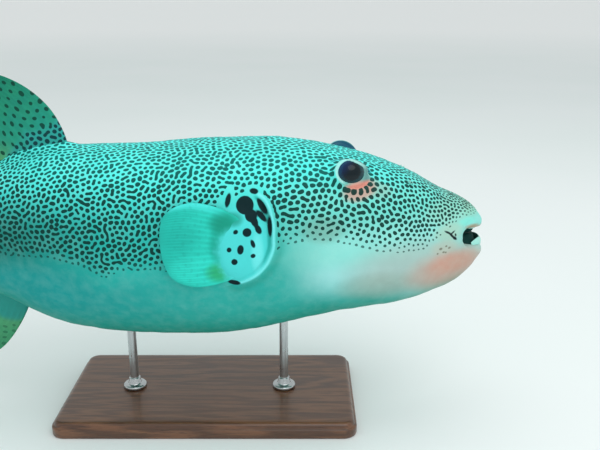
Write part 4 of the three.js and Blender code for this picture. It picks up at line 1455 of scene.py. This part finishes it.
def rod_rings(node):
    low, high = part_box(node)
    middle = (low + high) / 2
    radius, foot_top = ROD_PROFILE[-1]
    shaft = np.linspace(foot_top + SHAFT_START, (high.z - low.z) / MM, SHAFT_ROWS)
    profile = ROD_PROFILE + [(radius, height) for height in shaft]
    turn = full_turn(ROD_COLUMNS)
    around = np.stack([np.cos(turn), np.sin(turn), np.zeros(len(turn))], axis=1)
    foot = np.array([middle.x, middle.y, low.z])
    return np.stack([foot + (around * radius + (0, 0, height)) * MM for radius, height in profile])


FIBRE_SIZE, BEND_SIZE, PORE_SIZE = (150, 9, 14), (260, 60, 60), (12, 0.7, 0.9)
YEAR_RINGS = 16.0
BRUSH_SIZE = (0.25, 0.25, 30)


def wood_material():
    """Walnut, its grain along the base: bent year rings, fine fibres and dark pores."""
    n = Nodes("walnut", srgb(74, 46, 30))
    stretched = n.noise(FIBRE_SIZE, 5, 0.6)
    warp = n.plus(n.times(n.noise(BEND_SIZE, 2), 3.0), n.times(stretched, 1.4))
    rings = n.math("SINE", n.times(warp, YEAR_RINGS))
    n.tint(n.ramp(rings, -1, 1), srgb(116, 76, 50))
    pores = n.fade(n.noise(PORE_SIZE, 2), 0.56, 0.7)
    n.tint(pores, srgb(42, 25, 16), 0.6)
    n.tint(n.patchy(90, 2, 0.35, 0.65, 0, 0.3), srgb(96, 58, 34))
    rough = n.ramp(stretched, 0.3, 0.7, 0.3, 0.42)
    return n.finish(rough, n.bump(pores, 0.05, 0.5), Coat_Weight=0.35, Coat_Roughness=0.15)


def steel_material():
    n = Nodes("brushed_steel", srgb(176, 180, 182))
    brushed = n.noise(BRUSH_SIZE, 3)
    n.tint(n.ramp(brushed, 0.3, 0.7), srgb(206, 209, 210))
    return n.finish(n.patchy(14, 3, 0.35, 0.7, 0.24, 0.36), n.bump(brushed, 0.02, 0.4), Metallic=1.0)


def make_stand():
    stand_piece("stand_plinth", base_rings(), wood_material(), "stand_base")
    for place in ("front", "rear"):
        node = f"stand_rod_{place}"
        stand_piece(f"stand_support_{place}", rod_rings(node), steel_material(), node)


make_stand()

# ---- stage ----
FLOOR_RADIUS = 40.0
FLOOR_SIDES = 96
FLOOR_FADE = (2.5, 9)  # metres from the middle, where the floor turns white like the surroundings


def make_stage():
    """A plain pale floor, wide enough to meet the pale surroundings far away."""
    angles = full_turn(FLOOR_SIDES)
    points = [(FLOOR_RADIUS * math.cos(a), FLOOR_RADIUS * math.sin(a), 0) for a in angles]
    mesh = bpy.data.meshes.new("floor")
    mesh.from_pydata(points, [], [tuple(range(len(points)))])
    floor = bpy.data.objects.new("floor", mesh)
    bpy.context.scene.collection.objects.link(floor)
    n = Nodes("pale_floor", srgb(236, 242, 241))
    n.tint(n.patchy(900, 2, 0.3, 0.7), srgb(240, 244, 244))
    radius = n.add("ShaderNodeVectorMath", operation="LENGTH")
    n.join(n.place(1000), radius.inputs[0])  # in metres
    n.tint(n.fade(radius.outputs["Value"], *FLOOR_FADE), srgb(255, 255, 255))
    mesh.materials.append(n.finish(0.8, Specular_IOR_Level=0.1))


LIGHT_TARGET = Vector((0.1, 0, 0.2))


def area_light(name, place, size, power, shines=False):
    """A soft oval light in metres and watts; only one that shines is seen in reflections."""
    data = bpy.data.lights.new(name, "AREA")
    data.shape = "ELLIPSE"
    data.size, data.size_y = size
    data.energy = power
    light = bpy.data.objects.new(name, data)
    light.location = place
    light.visible_glossy = shines
    light.rotation_euler = (LIGHT_TARGET - Vector(place)).to_track_quat("-Z", "Y").to_euler()
    bpy.context.scene.collection.objects.link(light)


def make_lights():
    area_light("key_light", (0.7, -1.1, 1.8), (1.8, 1.4), 11, shines=True)
    area_light("top_light", (0.0, 0.3, 2.1), (2.4, 1.6), 9)
    area_light("fill_light", (1.2, -2.8, 1.3), (2.6, 1.6), 10.5)
    world = bpy.data.worlds.new("studio")
    world.use_nodes = True
    background = world.node_tree.nodes["Background"]
    background.inputs["Color"].default_value = srgb(238, 244, 244)
    background.inputs["Strength"].default_value = 0.8
    bpy.context.scene.world = world
    bpy.context.scene.view_settings.view_transform = "Standard"


CAMERA_ELEVATION = math.radians(17)
CAMERA_DISTANCE = 0.758
CAMERA_TARGET_BEHIND = 181  # the middle of the picture, behind the snout, in millimetres
CAMERA_NEAR = 0.02
LENS = 45.7


def make_camera():
    target = Vector(((SNOUT - CAMERA_TARGET_BEHIND) * MM, 0, AXIS * MM))
    back = Vector((0, -math.cos(CAMERA_ELEVATION), math.sin(CAMERA_ELEVATION)))
    camera = bpy.data.objects.new("camera", bpy.data.cameras.new("camera"))
    camera.location = target + CAMERA_DISTANCE * back
    camera.rotation_euler = (-back).to_track_quat("-Z", "Y").to_euler()
    camera.data.lens = LENS
    camera.data.clip_start = CAMERA_NEAR
    bpy.context.scene.collection.objects.link(camera)
    bpy.context.scene.camera = camera


make_stage()
make_lights()
make_camera()
